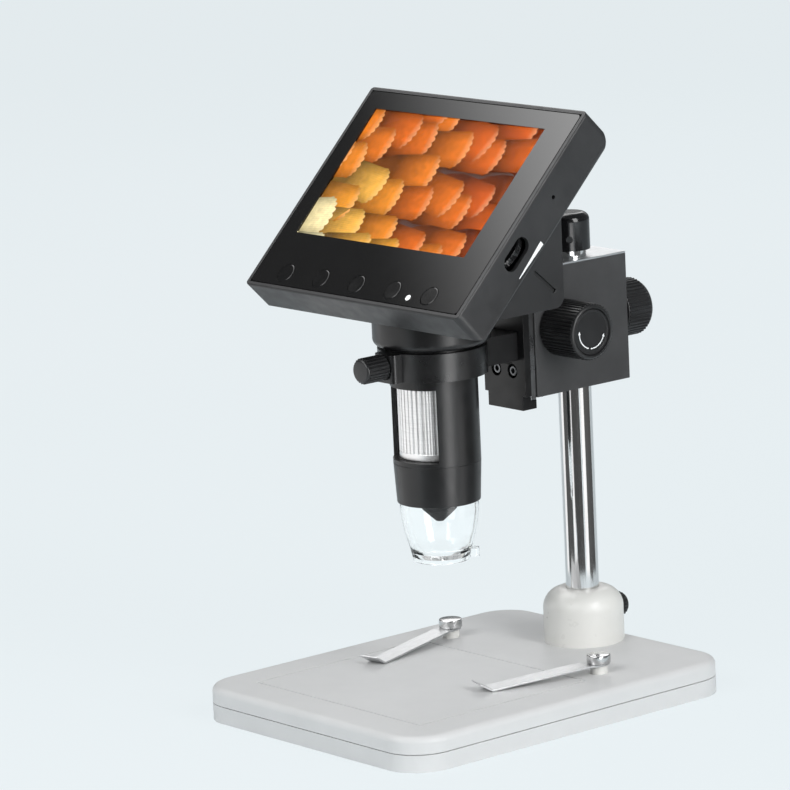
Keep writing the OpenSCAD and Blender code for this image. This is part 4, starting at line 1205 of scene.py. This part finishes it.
@dataclass
class SpecimenClip:
    """Spring strip on a post: a flat end, a slope down to the base and a tip bent up."""

    node: str
    name: str
    body: Body
    post: Point2
    turn: float
    length: float = 50.0
    width: float = 8.0
    thickness: float = 0.7
    top: float = 16.25
    rest: float = 13.15
    tip_length: float = 5.0
    tip_rise: float = 3.0
    bend: float = 3.0
    edge: float = 0.12
    hole: float = 2.1
    tool_reach: Point2 = (5.0, 25.0)

    def side(self) -> list[Point2]:
        """Returns the strip's outline seen from its side: distance from the post, and height."""
        flat_end, touch = self.width * 0.8, self.length - self.tip_length
        t = self.thickness
        low = [(-self.width / 2, self.top), (flat_end, self.top), (touch, self.rest),
               (self.length, self.rest + self.tip_rise)]
        high = [(self.length, self.rest + self.tip_rise + t), (touch, self.rest + t),
                (flat_end, self.top + t), (-self.width / 2, self.top + t)]
        radii = [0.0, self.bend + t, 1.2, 0.25, 0.25, 0.5, self.bend, 0.0]
        return rounded_path(low + high, radii, 5)

    def build(self, finish: bpy.types.Material) -> None:
        """Makes the strip with its round end and screw hole.

        Args:
            finish: the strip's material.
        """
        half, (low, high), steps = self.width / 2, self.tool_reach, 24
        on_edge = Matrix(((0, 0, 1, 0), (-1, 0, 0, 0), (0, 1, 0, 0), (0, 0, 0, 1)))
        strip = new_object(self.name, prism(self.side(), -half, half), Matrix.Scale(MM, 4) @ on_edge)
        end = [polar(half, math.pi * k / steps) for k in range(steps + 1)]
        plan = prism(end + [(-half, -self.length - 1), (half, -self.length - 1)], low, high)
        shape_by(strip, plan, "INTERSECT")
        shape_by(strip, lathe(rectangle((0, low), (self.hole, high)), 48), "DIFFERENCE")
        strip.data.transform(Matrix.Translation((self.post[0] * MM, self.post[1] * MM, 0))
                             @ Matrix.Rotation(math.radians(self.turn), 4, "Z"))
        softened(strip, self.edge)
        mounted(painted(strip, finish), self.body, "spring_steel", self.node)


def shape_by(made: bpy.types.Object, tool: bmesh.types.BMesh, operation: str,
             place: Matrix = Matrix.Scale(MM, 4)) -> bpy.types.Object:
    """Cuts, joins or trims an object with a closed tool shape.

    Args:
        made: the object.
        tool: the tool's mesh in millimetres, which is freed.
        operation: DIFFERENCE, UNION or INTERSECT.
        place: matrix from the tool's millimetres to the frame's metres.

    Returns:
        The same object as a plain mesh.
    """
    cutter = new_object("cutter", tool, place)
    modifier = made.modifiers.new("shape", "BOOLEAN")
    modifier.operation = operation
    modifier.object = cutter
    modifier.solver = "EXACT"
    settled(made)
    bpy.data.objects.remove(cutter)
    plain = new_object(made.name, simplified(made.data, 1e-6), Matrix.Identity(4))
    made.data = plain.data
    bpy.data.objects.remove(plain)
    return made


@dataclass
class Clips:
    """The two specimen clips with their posts and capped screws."""

    reach: Point2 = (42.0, 30.0)
    left_turn: float = 11.0
    right_turn: float = -17.0
    screw_radius: float = 2.0
    cap_height: float = 3.3
    cap_dome: float = 0.15

    def build(self) -> None:
        """Makes the clips, and their screw caps from one shape."""
        x, y = self.reach
        steel = coat_of(SPRING_STEEL)
        SpecimenClip("clip_left", "left_spring_clip", Body.CLIP_LEFT, (-x, y), self.left_turn).build(steel)
        SpecimenClip("clip_right", "right_spring_clip", Body.CLIP_RIGHT, (x, y), self.right_turn).build(steel)
        kept(coat_of(WHITE_ABS), "clip_posts")
        box = Corners("clip_screws")
        radius, shank = box.high.x - x, self.screw_radius
        head = box.high.z - self.cap_height
        outline = [(0, box.low.z), (shank, box.low.z), (shank, head), (radius, head),
                   (radius, box.high.z - self.cap_dome), (0, box.high.z)]
        cap = new_object("clip_cap_shape", lathe(rounded_path(outline, [0, 0.3, 0, 0.3, 0.4, 0])))
        caps = copies_at([(-x, y, 0), (x, y, 0)], "plated_clip_screws", cap, coat_of(NICKEL))
        mounted(caps, Body.STAND, "polished_chrome", "clip_screws")


# ---------- Arm and focus drive ----------

@dataclass
class Arm:
    """Arm block on the pole, with its pale top plate and the knob that clamps it."""

    knob_ribs: int = 44
    rib: Point2 = (0.5, 0.85)
    shoulder: float = 3.0
    rib_start: float = 0.4
    dish: Point2 = (3.2, 4.4)
    dish_depth: float = 0.5

    def build(self) -> None:
        """Makes the arm's pieces."""
        recut("arm_block", "arm_casting", coat_of(POWDER_COAT), Body.ARM, "arm_paint", 0.35)
        recut("arm_top_plate", "arm_top_sheet", coat_of(ALUMINIUM), Body.ARM, "satin_aluminium", 0.12)
        kept(coat_of(BRASS), "pinion_bush")
        kept(coat_of(ZINC), "clamp_screw")
        radius, length, place = turned_place("clamp_knob", Axis.BACK)
        radius -= self.rib[0]
        (rim, slope), floor = self.dish, length - self.dish_depth
        core = [(0, 0), (radius, 0), (radius, length), (radius - rim, length), (radius - slope, floor),
                (0, floor)]
        knob = ribbed("arm_clamp_knob", rounded_path(core, [0, 0.5, self.shoulder, 0.4, 0.8, 0], 6),
                      self.knob_ribs, radius, self.rib, (self.rib_start, length - self.shoulder), place,
                      coat_of(BLACK_ABS))
        mounted(knob, Body.POLE_CLAMP, "knob_plastic", "clamp_knob")


@dataclass
class TurnMark:
    """Curved arrow printed on the lock knob's face."""

    radius: float = 6.2
    width: float = 0.42
    head: float = 1.2
    thickness: float = 0.08
    steps: int = 16
    spans: tuple[Point2, ...] = ((253, 182), (263, 336))

    def mesh(self, start: float, stop: float) -> bmesh.types.BMesh:
        """Makes one arrow that ends in its head.

        Args:
            start: angle of its tail, in degrees.
            stop: angle of its head's base.

        Returns:
            The thin closed mesh.
        """
        angles = [math.radians(start + (stop - start) * k / self.steps) for k in range(self.steps + 1)]
        way = math.copysign(1.0, stop - start)
        inner, outer = self.radius - self.width / 2, self.radius + self.width / 2
        last = angles[-1]
        tip = last + way * self.head / self.radius
        head = [polar(self.radius - self.head / 2, last), polar(self.radius, tip),
                polar(self.radius + self.head / 2, last)]
        outline = [polar(inner, a) for a in angles] + head + [polar(outer, a) for a in reversed(angles)]
        return prism(outline, 0.0, self.thickness)


@dataclass
class FocusDrive:
    """Focus knob, pinion and lock knob on the arm's cross axis."""

    ribs_round: int = 48
    rib: Point2 = (0.45, 0.75)
    edge: float = 0.4
    shoulder: float = 1.2
    face_radius: float = 8.55
    face_slope: float = 0.4
    face_depth: float = 0.9
    disc_play: float = 0.05
    disc_rim: Point2 = (0.7, 0.9)
    disc_step: float = 0.2
    mark: TurnMark = field(default_factory=TurnMark)

    def build(self) -> None:
        """Makes the two knobs and dresses the pinion."""
        kept(coat_of(ZINC), "pinion_shaft", "lock_screw")
        self.knob("focus_knob", "focus_drive_knob", Axis.LEFT, Body.FOCUS_DRIVE)
        self.knob("lock_knob", "lock_drive_knob", Axis.RIGHT, Body.LOCK)
        self.face()

    def knob(self, node: str, name: str, axis: Axis, body: Body) -> None:
        """Makes one knob with a dished face.

        Args:
            node: the CAD node it stands for.
            name: its name.
            axis: the side it points to.
            body: the body it rides on.
        """
        radius, length, place = turned_place(node, axis)
        radius -= self.rib[0]
        core = [(0, 0), (radius, 0), (radius, length), (self.face_radius + self.face_slope, length),
                (self.face_radius, length - self.face_depth), (0, length - self.face_depth)]
        made = ribbed(name, rounded_path(core, [0, self.edge, self.shoulder, 0.15, 0.1, 0], 6),
                      self.ribs_round, radius, self.rib, (self.edge, length - self.shoulder), place,
                      coat_of(BLACK_ABS))
        mounted(made, body, "knob_plastic", node)

    def face(self) -> None:
        """Makes the disc in the lock knob's face and the two arrows on it."""
        box = Corners("lock_knob_face")
        radius, depth = box.size.z / 2 - self.disc_play, box.size.x
        facing = Matrix(((0, 0, 1, 0), (1, 0, 0, 0), (0, 1, 0, 0), (0, 0, 0, 1)))
        place = Matrix.Scale(MM, 4) @ Matrix.Translation((box.low.x, box.mid.y, box.mid.z)) @ facing
        (rim, slope), sunk = self.disc_rim, depth - self.disc_step
        outline = [(0, 0), (radius, 0), (radius, depth), (radius - rim, depth), (radius - slope, sunk),
                   (0, sunk)]
        disc = new_object("lock_knob_disc", lathe(rounded_path(outline, [0, 0, 0.15, 0.1, 0.1, 0])), place)
        mounted(painted(disc, coat_of(BLACK_ABS)), Body.LOCK, "knob_plastic", "lock_knob_face")
        arrows = bmesh.new()
        for start, stop in self.mark.spans:
            one = bpy.data.meshes.new("arrow")
            made = self.mark.mesh(start, stop)
            made.to_mesh(one)
            made.free()
            arrows.from_mesh(one)
            bpy.data.meshes.remove(one)
        marks = new_object("lock_knob_arrows", arrows, place @ Matrix.Translation((0, 0, sunk)))
        mounted(painted(marks, coat_of(PRINT_INK)), Body.LOCK, "knob_plastic")


@dataclass
class FocusSlide:
    """Carriage on the dovetail, its wear strips, rack and two socket screws."""

    head_radius: float = 1.95
    head_depth: float = 1.6
    shank: float = 1.25
    socket: float = 1.2
    socket_depth: float = 1.0

    def build(self) -> None:
        """Makes the carriage and its screws."""
        black = coat_of(ANODISED)
        recut("slide_carriage", "slide_casting", black, Body.CARRIAGE, "slide_black", 0.45)
        recut("slide_strips", "slide_wear_strips", coat_of(SLIDE_STEEL), Body.CARRIAGE, "satin_aluminium",
              0.3)
        recut("dovetail_tongue", "dovetail_bar", black, Body.CARRIAGE, "slide_black", 0.15)
        kept(coat_of(BRASS), "focus_rack")
        self.screws()

    def screws(self) -> None:
        """Makes the two socket screws in the carriage's front from one shape."""
        box = Corners("carriage_screws")
        radius, depth, shank, length = self.head_radius, self.head_depth, self.shank, box.size.y
        outline = [(0, 0), (radius, 0), (radius, depth), (shank, depth), (shank, length), (0, length)]
        turned = lathe(rounded_path(outline, [0, 0.35, 0.1, 0, 0.2, 0]), 48)
        lying = Matrix.Scale(MM, 4) @ Matrix.Rotation(-math.pi / 2, 4, "X")
        shape = new_object("screw_shape", turned, lying)
        hexagon = [polar(self.socket, math.pi * k / 3) for k in range(6)]
        shape_by(shape, prism(hexagon, -1, self.socket_depth), "DIFFERENCE", lying)
        points = [(x, box.low.y, box.mid.z)
                  for x in (box.low.x + box.size.z / 2, box.high.x - box.size.z / 2)]
        screws = copies_at(points, "carriage_socket_screws", shape, coat_of(BURNISHED))
        mounted(screws, Body.CARRIAGE, "zinc_screw", "carriage_screws")


# ---------- Holder and microscope tube ----------

@dataclass
class Holder:
    """Ring that carries the microscope, its sleeve and its thumb screw."""

    knob_ribs: int = 22
    rib: Point2 = (0.4, 0.8)
    edge: float = 0.4
    shoulder: float = 1.0

    def build(self) -> None:
        """Makes the ring and its knob."""
        recut("holder_ring", "holder_ring_turned", coat_of(RING_PAINT), Body.CARRIAGE, "tube_plastic", 0.45,
              segments=3)
        kept(coat_of(SOFT_PAINT), "holder_sleeve")
        kept(coat_of(ZINC), "ring_screw")
        radius, length, place = turned_place("ring_knob", Axis.FRONT)
        radius -= self.rib[0]
        core = rounded_path(rectangle((0, 0), (radius, length)), [0, self.edge, self.shoulder, 0])
        knob = ribbed("holder_thumb_knob", core, self.knob_ribs, radius, self.rib,
                      (self.edge, length - self.edge - self.shoulder), place, coat_of(BLACK_ABS))
        mounted(knob, Body.RING_CLAMP, "knob_plastic", "ring_knob")


@dataclass
class Tube:
    """Tube under the display: its shell, focus wheel, lens, lamps and clear cap."""

    wheel_ribs: int = 40
    wheel_rib: Point2 = (0.35, 1.75)
    wheel_band: float = 2.6
    bore_play: float = 0.08
    lamps: int = 8
    lamp_radius: float = 1.4
    lamp_circle: float = 9.3
    lamp_root: float = 0.2
    board_thickness: float = 1.2
    board_play: float = 0.2
    cap_end: float = 10.85
    cap_grip: float = 4.0
    cap_wall: float = 1.3
    lug_half: float = 2.5
    lug_angle: float = 50.0

    def build(self) -> None:
        """Makes the tube's pieces."""
        for node, name, width in (("neck_ring", "neck_collar", 0.3), ("tube_body", "tube_shell", 0.25),
                                  ("nose_sleeve", "nose_shell", 0.2)):
            recut(node, name, coat_of(SOFT_PAINT), Body.MICROSCOPE, "tube_plastic", width)
        kept(coat_of(MATT_ABS), "led_cover", "nose_cone")
        kept(coat_of(BARREL), "lens_barrel")
        kept(coat_of(LENS_GLASS), "objective_lens")
        kept(coat_of(SOLDER_MASK), "sensor_board")
        self.wheel()
        self.lights()
        self.cap()

    def wheel(self) -> None:
        """Makes the focus wheel: ribs above a plain band, round an open bore."""
        full, height, place = turned_place("focus_wheel", Axis.UP)
        bore = Corners("lens_barrel").size.x / 2 + self.bore_play
        inner = full - self.wheel_rib[0]
        core = [(bore, 0), (full, 0), (full, self.wheel_band), (inner, self.wheel_band), (inner, height),
                (bore, height)]
        wheel = ribbed("ribbed_focus_wheel", rounded_path(core, [0.3, 0.3, 0.2, 0.05, 0.3, 0.3]),
                       self.wheel_ribs, inner, self.wheel_rib,
                       (self.wheel_band - 0.1, height - self.wheel_band - 0.2), place, coat_of(TURNED))
        mounted(wheel, Body.WHEEL, "wheel_silver", "focus_wheel")

    def lights(self) -> None:
        """Makes the lamp ring: a board with round-ended lamps pointing down."""
        box = Corners("led_board")
        radius, root, thick = self.lamp_radius, self.lamp_root, self.board_thickness
        length = box.size.z - thick
        bulb = [(0, root), (radius, root), (radius, -length + radius), (radius * 0.72, -length + 0.42),
                (0, -length)]
        shape = new_object("lamp_shape", lathe(rounded_path(bulb, [0, 0.1, 0.6, 0.6, 0]), 32))
        ring = [polar(self.lamp_circle, 2 * math.pi * k / self.lamps) for k in range(self.lamps)]
        points = [(box.mid.x + x, box.mid.y + y, box.high.z - thick) for x, y in ring]
        lamps = copies_at(points, "ring_lamps", shape, coat_of(LAMP_EPOXY))
        mounted(lamps, Body.MICROSCOPE, "light_white")
        rim, hole = box.size.x / 2, Corners("nose_cone").size.x / 2 + self.board_play
        board = lathe(rounded_path(rectangle((hole, -thick), (rim, 0)), [0.1] * 4, 2))
        made = new_object("lamp_board", board, standing(Axis.UP, (box.mid.x, box.mid.y, box.high.z)))
        mounted(painted(made, coat_of(WHITE_ABS)), Body.MICROSCOPE, "light_white", "led_board")

    def cap(self) -> None:
        """Makes the clear cap as one curved skirt with a thick end ring and a lug."""
        box = Corners("clear_cap")
        end, grip, wall = self.cap_end, self.cap_grip, self.cap_wall
        nose = box.high.z - grip
        drop = nose - box.low.z
        top = box.size.y / 2
        outline = [(top, grip), (top, -0.2 * drop), (top - 1.1, -0.5 * drop), (end + 0.7, -0.78 * drop),
                   (end, -0.93 * drop), (end - 0.3, -drop), (end - 3, -drop), (end - 3, -drop + 1.4),
                   (end - 1.5, -0.85 * drop), (end - 0.6, -0.78 * drop), (top - 1.1 - wall, -0.5 * drop),
                   (top - wall, -0.2 * drop), (top - wall, grip)]
        radii = [0.25, 18.0, 14.0, 6.0, 0.8, 0.3, 0.3, 0.5, 1.2, 6.0, 14.0, 18.0, 0.25]
        place = standing(Axis.UP, (box.mid.x, Corners("nose_sleeve").mid.y, nose))
        skirt = new_object("clear_cap_skirt", lathe(rounded_path(outline, radii, 6), 128), place)
        plan = rectangle((end - 0.6, -self.lug_half), (end + 3.2, self.lug_half))
        lug = prism(rounded_path(plan, [0, 1.5, 1.5, 0]), -drop + 0.8, -drop + 3.8)
        shape_by(skirt, lug, "UNION", place @ Matrix.Rotation(math.radians(self.lug_angle), 4, "Z"))
        mounted(painted(skirt, coat_of(POLYCARBONATE)), Body.CAP, "clear_plastic", "clear_cap")


# ---------- Display ----------

@dataclass
class Picture:
    """Own pattern that the display shows: overlapping fan-shaped scales in warm colours."""

    low: Point2 = (-50.5, 25.5)
    high: Point2 = (44.5, 83.5)
    depth: float = -1.2
    pitch: Point2 = (20.5, 12.4)
    scale_size: Point2 = (38.0, 16.5)
    lean: Point2 = (math.radians(3.2), math.radians(3.6))
    squash: float = 0.3
    backing: Point2 = (-0.3, -0.1)
    seed: int = 3

    def fan(self) -> bmesh.types.BMesh:
        """Makes one scale: a narrow root at the origin, long sides and a round tip of small lobes along +X.

        Returns:
            The thin closed mesh.
        """
        length, width = self.scale_size
        half, dome, lobe = width / 2, length * 0.15, 1.1
        lobes, steps = 9, 8
        side = [(0.0, half * 0.25), (length * 0.14, half * 0.62), (length * 0.34, half * 0.9)]
        tip = []
        for k in range(lobes * steps + 1):
            share = k / (lobes * steps)
            angle = math.pi * (share - 0.5)
            bump = lobe * (abs(math.sin(math.pi * share * lobes)) - 0.5)
            tip.append((length - dome + (dome + bump) * math.cos(angle) ** 0.8,
                        (half + bump * 0.4) * math.sin(angle)))
        outline = [(x, -y) for x, y in side] + tip + side[::-1]
        return prism(outline, 0.0, 0.05)

    def shape(self) -> bpy.types.Object:
        """Makes the scale's object, with attributes that its material reads.

        Returns:
            The object, which the pattern copies.
        """
        made = new_object("scale_shape", self.fan())
        along = made.data.attributes.new("along", "FLOAT", "POINT")
        across = made.data.attributes.new("across", "FLOAT", "POINT")
        length, width = self.scale_size
        for i, vertex in enumerate(made.data.vertices):
            along.data[i].value = vertex.co.x / (length * MM)
            across.data[i].value = vertex.co.y / (width * MM)
        return made

    def material(self) -> bpy.types.Material:
        """Builds the lit picture's material: each scale darker at its root, ribbed, pale at its rim.

        Returns:
            The material.
        """
        material, tree, shader = new_material("lit_lcd_wing_scales")
        read = [add_node(tree, "ShaderNodeAttribute", attribute_name=name).outputs["Fac"]
                for name in ("along", "across", "tone")]
        along, across, tone = read
        ramp = add_node(tree, "ShaderNodeValToRGB", {"Fac": tone})
        stops = ((0.0, "#C04A10"), (0.3, "#D66014"), (0.52, "#E2781C"), (0.72, "#ECA030"), (0.86, "#F5CB66"),
                 (1.0, "#FCEFBC"))
        while len(ramp.color_ramp.elements) < len(stops):
            ramp.color_ramp.elements.new(0.5)
        for element, (place, code) in zip(ramp.color_ramp.elements, stops):
            element.position = place
            element.color = linear(code)
        light = mapped(tree, along, (0.42, 0.9), (0.22, 1.12))
        wave = calc(tree, "SINE", calc(tree, "MULTIPLY", across, 120.0))
        ridge = mapped(tree, wave, (-1.0, 1.0), (0.93, 1.03))
        side = mapped(tree, calc(tree, "ABSOLUTE", across), (0.22, 0.5), (1.0, 0.45))
        mottle = spread(tree, noise(tree, object_place(tree), 2.2, 3.0), 0.86, 1.1)
        for part in (ridge, side, mottle):
            light = calc(tree, "MULTIPLY", light, part)
        grey = add_node(tree, "ShaderNodeCombineColor", {"Red": light, "Green": light, "Blue": light})
        lit = add_node(tree, "ShaderNodeMix", {0: 1.0, 6: ramp.outputs["Color"], 7: grey.outputs[0]},
                       data_type="RGBA", blend_type="MULTIPLY")
        rim = mapped(tree, along, (0.9, 1.02), (0.0, 0.3))
        final = add_node(tree, "ShaderNodeMix", {0: rim, 6: lit.outputs[2], 7: linear("#FBE9B8")},
                         data_type="RGBA")
        fill(tree, shader, {"Base Color": linear("#0C0603"), "Emission Color": final.outputs[2],
                            "Emission Strength": 1.1, "Roughness": 0.6, "Specular IOR Level": 0.1})
        return material

    def pattern(self) -> Pattern:
        """Builds the tree that lays leaning scales at points, each with a tone of its own.

        Returns:
            The pattern.
        """
        made = Pattern("wing scales at points", {"Shape": ("NodeSocketObject", None),
                                                 "Seed": ("NodeSocketInt", 3),
                                                 "Tip up": ("NodeSocketFloat", 0.06),
                                                 "Roll": ("NodeSocketFloat", 0.06),
                                                 "Material": ("NodeSocketMaterial", None)})
        start = made.start
        shape = made.add("GeometryNodeObjectInfo", {"Object": start["Shape"]}, transform_space="ORIGINAL")
        points = made.add("GeometryNodeMeshToPoints", {"Mesh": start["Geometry"]})
        wobble = made.add("FunctionNodeRandomValue", {"Seed": start["Seed"]}, data_type="FLOAT")
        wobble.inputs[2].default_value, wobble.inputs[3].default_value = -0.24, 0.12
        turn = made.vector(start["Roll"], made.maths("MULTIPLY", start["Tip up"], -1.0), wobble.outputs[1])
        spin = made.add("FunctionNodeEulerToRotation", {"Euler": turn}).outputs[0]
        size = made.add("FunctionNodeRandomValue", {"Seed": made.maths("ADD", start["Seed"], 1.0)},
                        data_type="FLOAT")
        size.inputs[2].default_value, size.inputs[3].default_value = 0.9, 1.08
        laid = made.add("GeometryNodeInstanceOnPoints",
                        {"Points": points.outputs[0], "Instance": shape.outputs["Geometry"],
                         "Rotation": spin, "Scale": size.outputs[1]})
        place = made.add("GeometryNodeInputPosition").outputs[0]
        apart = made.add("ShaderNodeSeparateXYZ", {"Vector": place}).outputs
        chance = made.add("FunctionNodeRandomValue", {"Seed": made.maths("ADD", start["Seed"], 2.0)},
                          data_type="FLOAT")
        chance.inputs[2].default_value, chance.inputs[3].default_value = -0.2, 0.2
        warm = made.maths("ADD", made.maths("MULTIPLY", apart["X"], -6.0),
                          made.maths("MULTIPLY", apart["Y"], -5.5))
        tone = made.maths("ADD", made.maths("ADD", warm, 0.57), chance.outputs[1])
        toned = made.add("GeometryNodeStoreNamedAttribute", {"Geometry": laid.outputs[0], "Name": "tone",
                                                             "Value": tone},
                         data_type="FLOAT", domain="INSTANCE")
        return made.close(toned.outputs[0])

    def build(self) -> None:
        """Makes the backing, and the scales trimmed to the picture's frame."""
        finish = self.material()
        mesh = bmesh.new()
        rows = int((self.high[1] - self.low[1]) / self.pitch[1]) + 3
        columns = int((self.high[0] - self.low[0]) / self.pitch[0]) + 4
        for row in range(rows):
            for column in range(columns):
                x = self.low[0] - self.scale_size[0] + (column + 0.5 * (row % 2)) * self.pitch[0]
                y = self.low[1] - self.pitch[1] / 2 + row * self.pitch[1]
                mesh.verts.new((x, y, 0))
        scales, shape = new_object("lit_wing_scales", mesh), self.shape()
        self.pattern().on(scales, {"Shape": shape, "Seed": self.seed, "Tip up": self.lean[0],
                                   "Roll": self.lean[1], "Material": finish})
        bpy.data.objects.remove(shape)
        self.trim(scales)
        scales.data.transform(GLASS.matrix() @ Matrix.Translation((0, 0, self.depth))
                              @ Matrix.Diagonal((1, 1, self.squash, 1)) @ Matrix.Scale(1 / MM, 4))
        mounted(scales, Body.MICROSCOPE, "display")
        back = prism(rectangle(self.low, self.high), *(self.depth + height for height in self.backing))
        backing = new_object("picture_backing", back, GLASS.matrix())
        material, tree, shader = new_material("lit_lcd_backing")
        fill(tree, shader, {"Base Color": linear("#0C0502"), "Emission Color": linear("#5A240C"),
                            "Emission Strength": 0.6})
        mounted(painted(backing, material), Body.MICROSCOPE, "display")

    def trim(self, scales: bpy.types.Object) -> None:
        """Cuts off what lies outside the picture's frame, and closes the cuts.

        Args:
            scales: the scales, flat in the glass's plane.
        """
        mesh = bmesh.new()
        mesh.from_mesh(scales.data)
        sides = ((self.low, (-1.0, 0.0)), (self.low, (0.0, -1.0)), (self.high, (1.0, 0.0)),
                 (self.high, (0.0, 1.0)))
        for (x, y), (away_x, away_y) in sides:
            parts = mesh.verts[:] + mesh.edges[:] + mesh.faces[:]
            cut = bmesh.ops.bisect_plane(mesh, geom=parts, plane_co=(x * MM, y * MM, 0),
                                         plane_no=(away_x, away_y, 0), clear_outer=True)
            edges = [e for e in cut["geom_cut"] if isinstance(e, bmesh.types.BMEdge) and e.is_boundary]
            bmesh.ops.holes_fill(mesh, edges=edges, sides=0)
        mesh.to_mesh(scales.data)
        mesh.free()


@dataclass
class Display:
    """Tilted housing: shells, panel with its window, keys, lamp, wheel and ports."""

    picture: Picture = field(default_factory=Picture)
    keys: int = 5
    wheel_place: Point3 = (51.15, 34.1, -7.1)
    wheel_radius: float = 9.0
    wheel_bore: float = 1.58
    wheel_thickness: float = 2.4
    wheel_ribs: int = 48
    wheel_rib: Point2 = (0.35, 0.6)
    print_side: float = 60.36
    print_n: float = -14.0
    print_reach: Point2 = (28.4, 44.5)
    print_half: Point2 = (0.15, 0.9)
    print_depths: Point2 = (-0.05, 0.03)
    window_play: float = 0.15
    window_edge: float = 0.12
    pane_thickness: float = 0.2

    def build(self) -> None:
        """Makes the display's pieces."""
        for node, name, width in (("housing_shell", "display_shell", 0.25),
                                  ("rear_cover", "display_rear", 0.3)):
            recut(node, name, coat_of(HOUSING_ABS), Body.MICROSCOPE, "housing_plastic", width)
        self.panel()
        self.picture.build()
        kept(coat_of(BLACK_ABS), "lcd_panel")
        kept(coat_of(KEY_LACQUER), *(f"button_{i + 1}" for i in range(self.keys)))
        kept(coat_of(LAMP_EPOXY), "indicator_light")
        kept(coat_of(SOLDER_MASK), "main_board")
        kept(coat_of(CELL_FOIL), "battery")
        kept(coat_of(ZINC), "side_ports")
        self.wheel()
        self.wedge()

    def panel(self) -> None:
        """Makes the black panel with its window, and the clear pane over the picture."""
        low, high = self.picture.low, self.picture.high
        window = prism(rectangle(low, high), -3.0, 1.0)
        panel = shape_by(copied("front_glass", "front_panel"), window, "DIFFERENCE", GLASS.matrix())
        softened(panel, self.window_edge, limit=CAD_EDGE)
        mounted(painted(panel, coat_of(BACKED_ACRYLIC)), Body.MICROSCOPE, "panel_black", "front_glass")
        play = self.window_play
        pane = prism(rectangle((low[0] + play, low[1] + play), (high[0] - play, high[1] - play)),
                     -self.pane_thickness, 0.0)
        made = new_object("picture_pane", pane, GLASS.matrix())
        mounted(painted(made, coat_of(WINDOW_ACRYLIC)), Body.MICROSCOPE, "panel_black")

    def wheel(self) -> None:
        """Makes the brightness wheel that shows in the right side."""
        radius, thickness = self.wheel_radius - self.wheel_rib[0], self.wheel_thickness
        core = rounded_path(rectangle((self.wheel_bore, 0), (radius, thickness)), [0, 0.2, 0.2, 0])
        x, y, middle = self.wheel_place
        place = GLASS.matrix() @ Matrix.Translation((x, y, middle - thickness / 2))
        wheel = ribbed("brightness_wheel", core, self.wheel_ribs, radius, self.wheel_rib,
                       (0.15, thickness - 0.3), place, coat_of(GLOSS_ABS))
        mounted(wheel, Body.DIAL, "dial_plastic", "brightness_dial")

    def wedge(self) -> None:
        """Prints the growing wedge beside the brightness wheel on the right side."""
        (low, high), (thin, thick) = self.print_reach, self.print_half
        outline = [(low, -thin), (high, -thick), (high, thick), (low, thin)]
        turned = Matrix(((0, 0, 1, self.print_side), (1, 0, 0, 0), (0, 1, 0, self.print_n), (0, 0, 0, 1)))
        made = new_object("brightness_wedge_print", prism(outline, *self.print_depths),
                          GLASS.matrix() @ turned)
        mounted(painted(made, coat_of(PRINT_INK)), Body.MICROSCOPE, "housing_plastic")


# ---------- Whole scene ----------

def main() -> None:
    """Builds the scene."""
    logging.basicConfig(level=logging.INFO, format="%(name)s: %(message)s")
    for part in (Base(), Collar(), Pole(), Clips(), Arm(), FocusDrive(), FocusSlide(), Holder(), Tube(),
                 Display(), Studio(), Viewpoint()):
        part.build()
    bpy.context.view_layer.update()


if __name__ == "__main__":
    main()
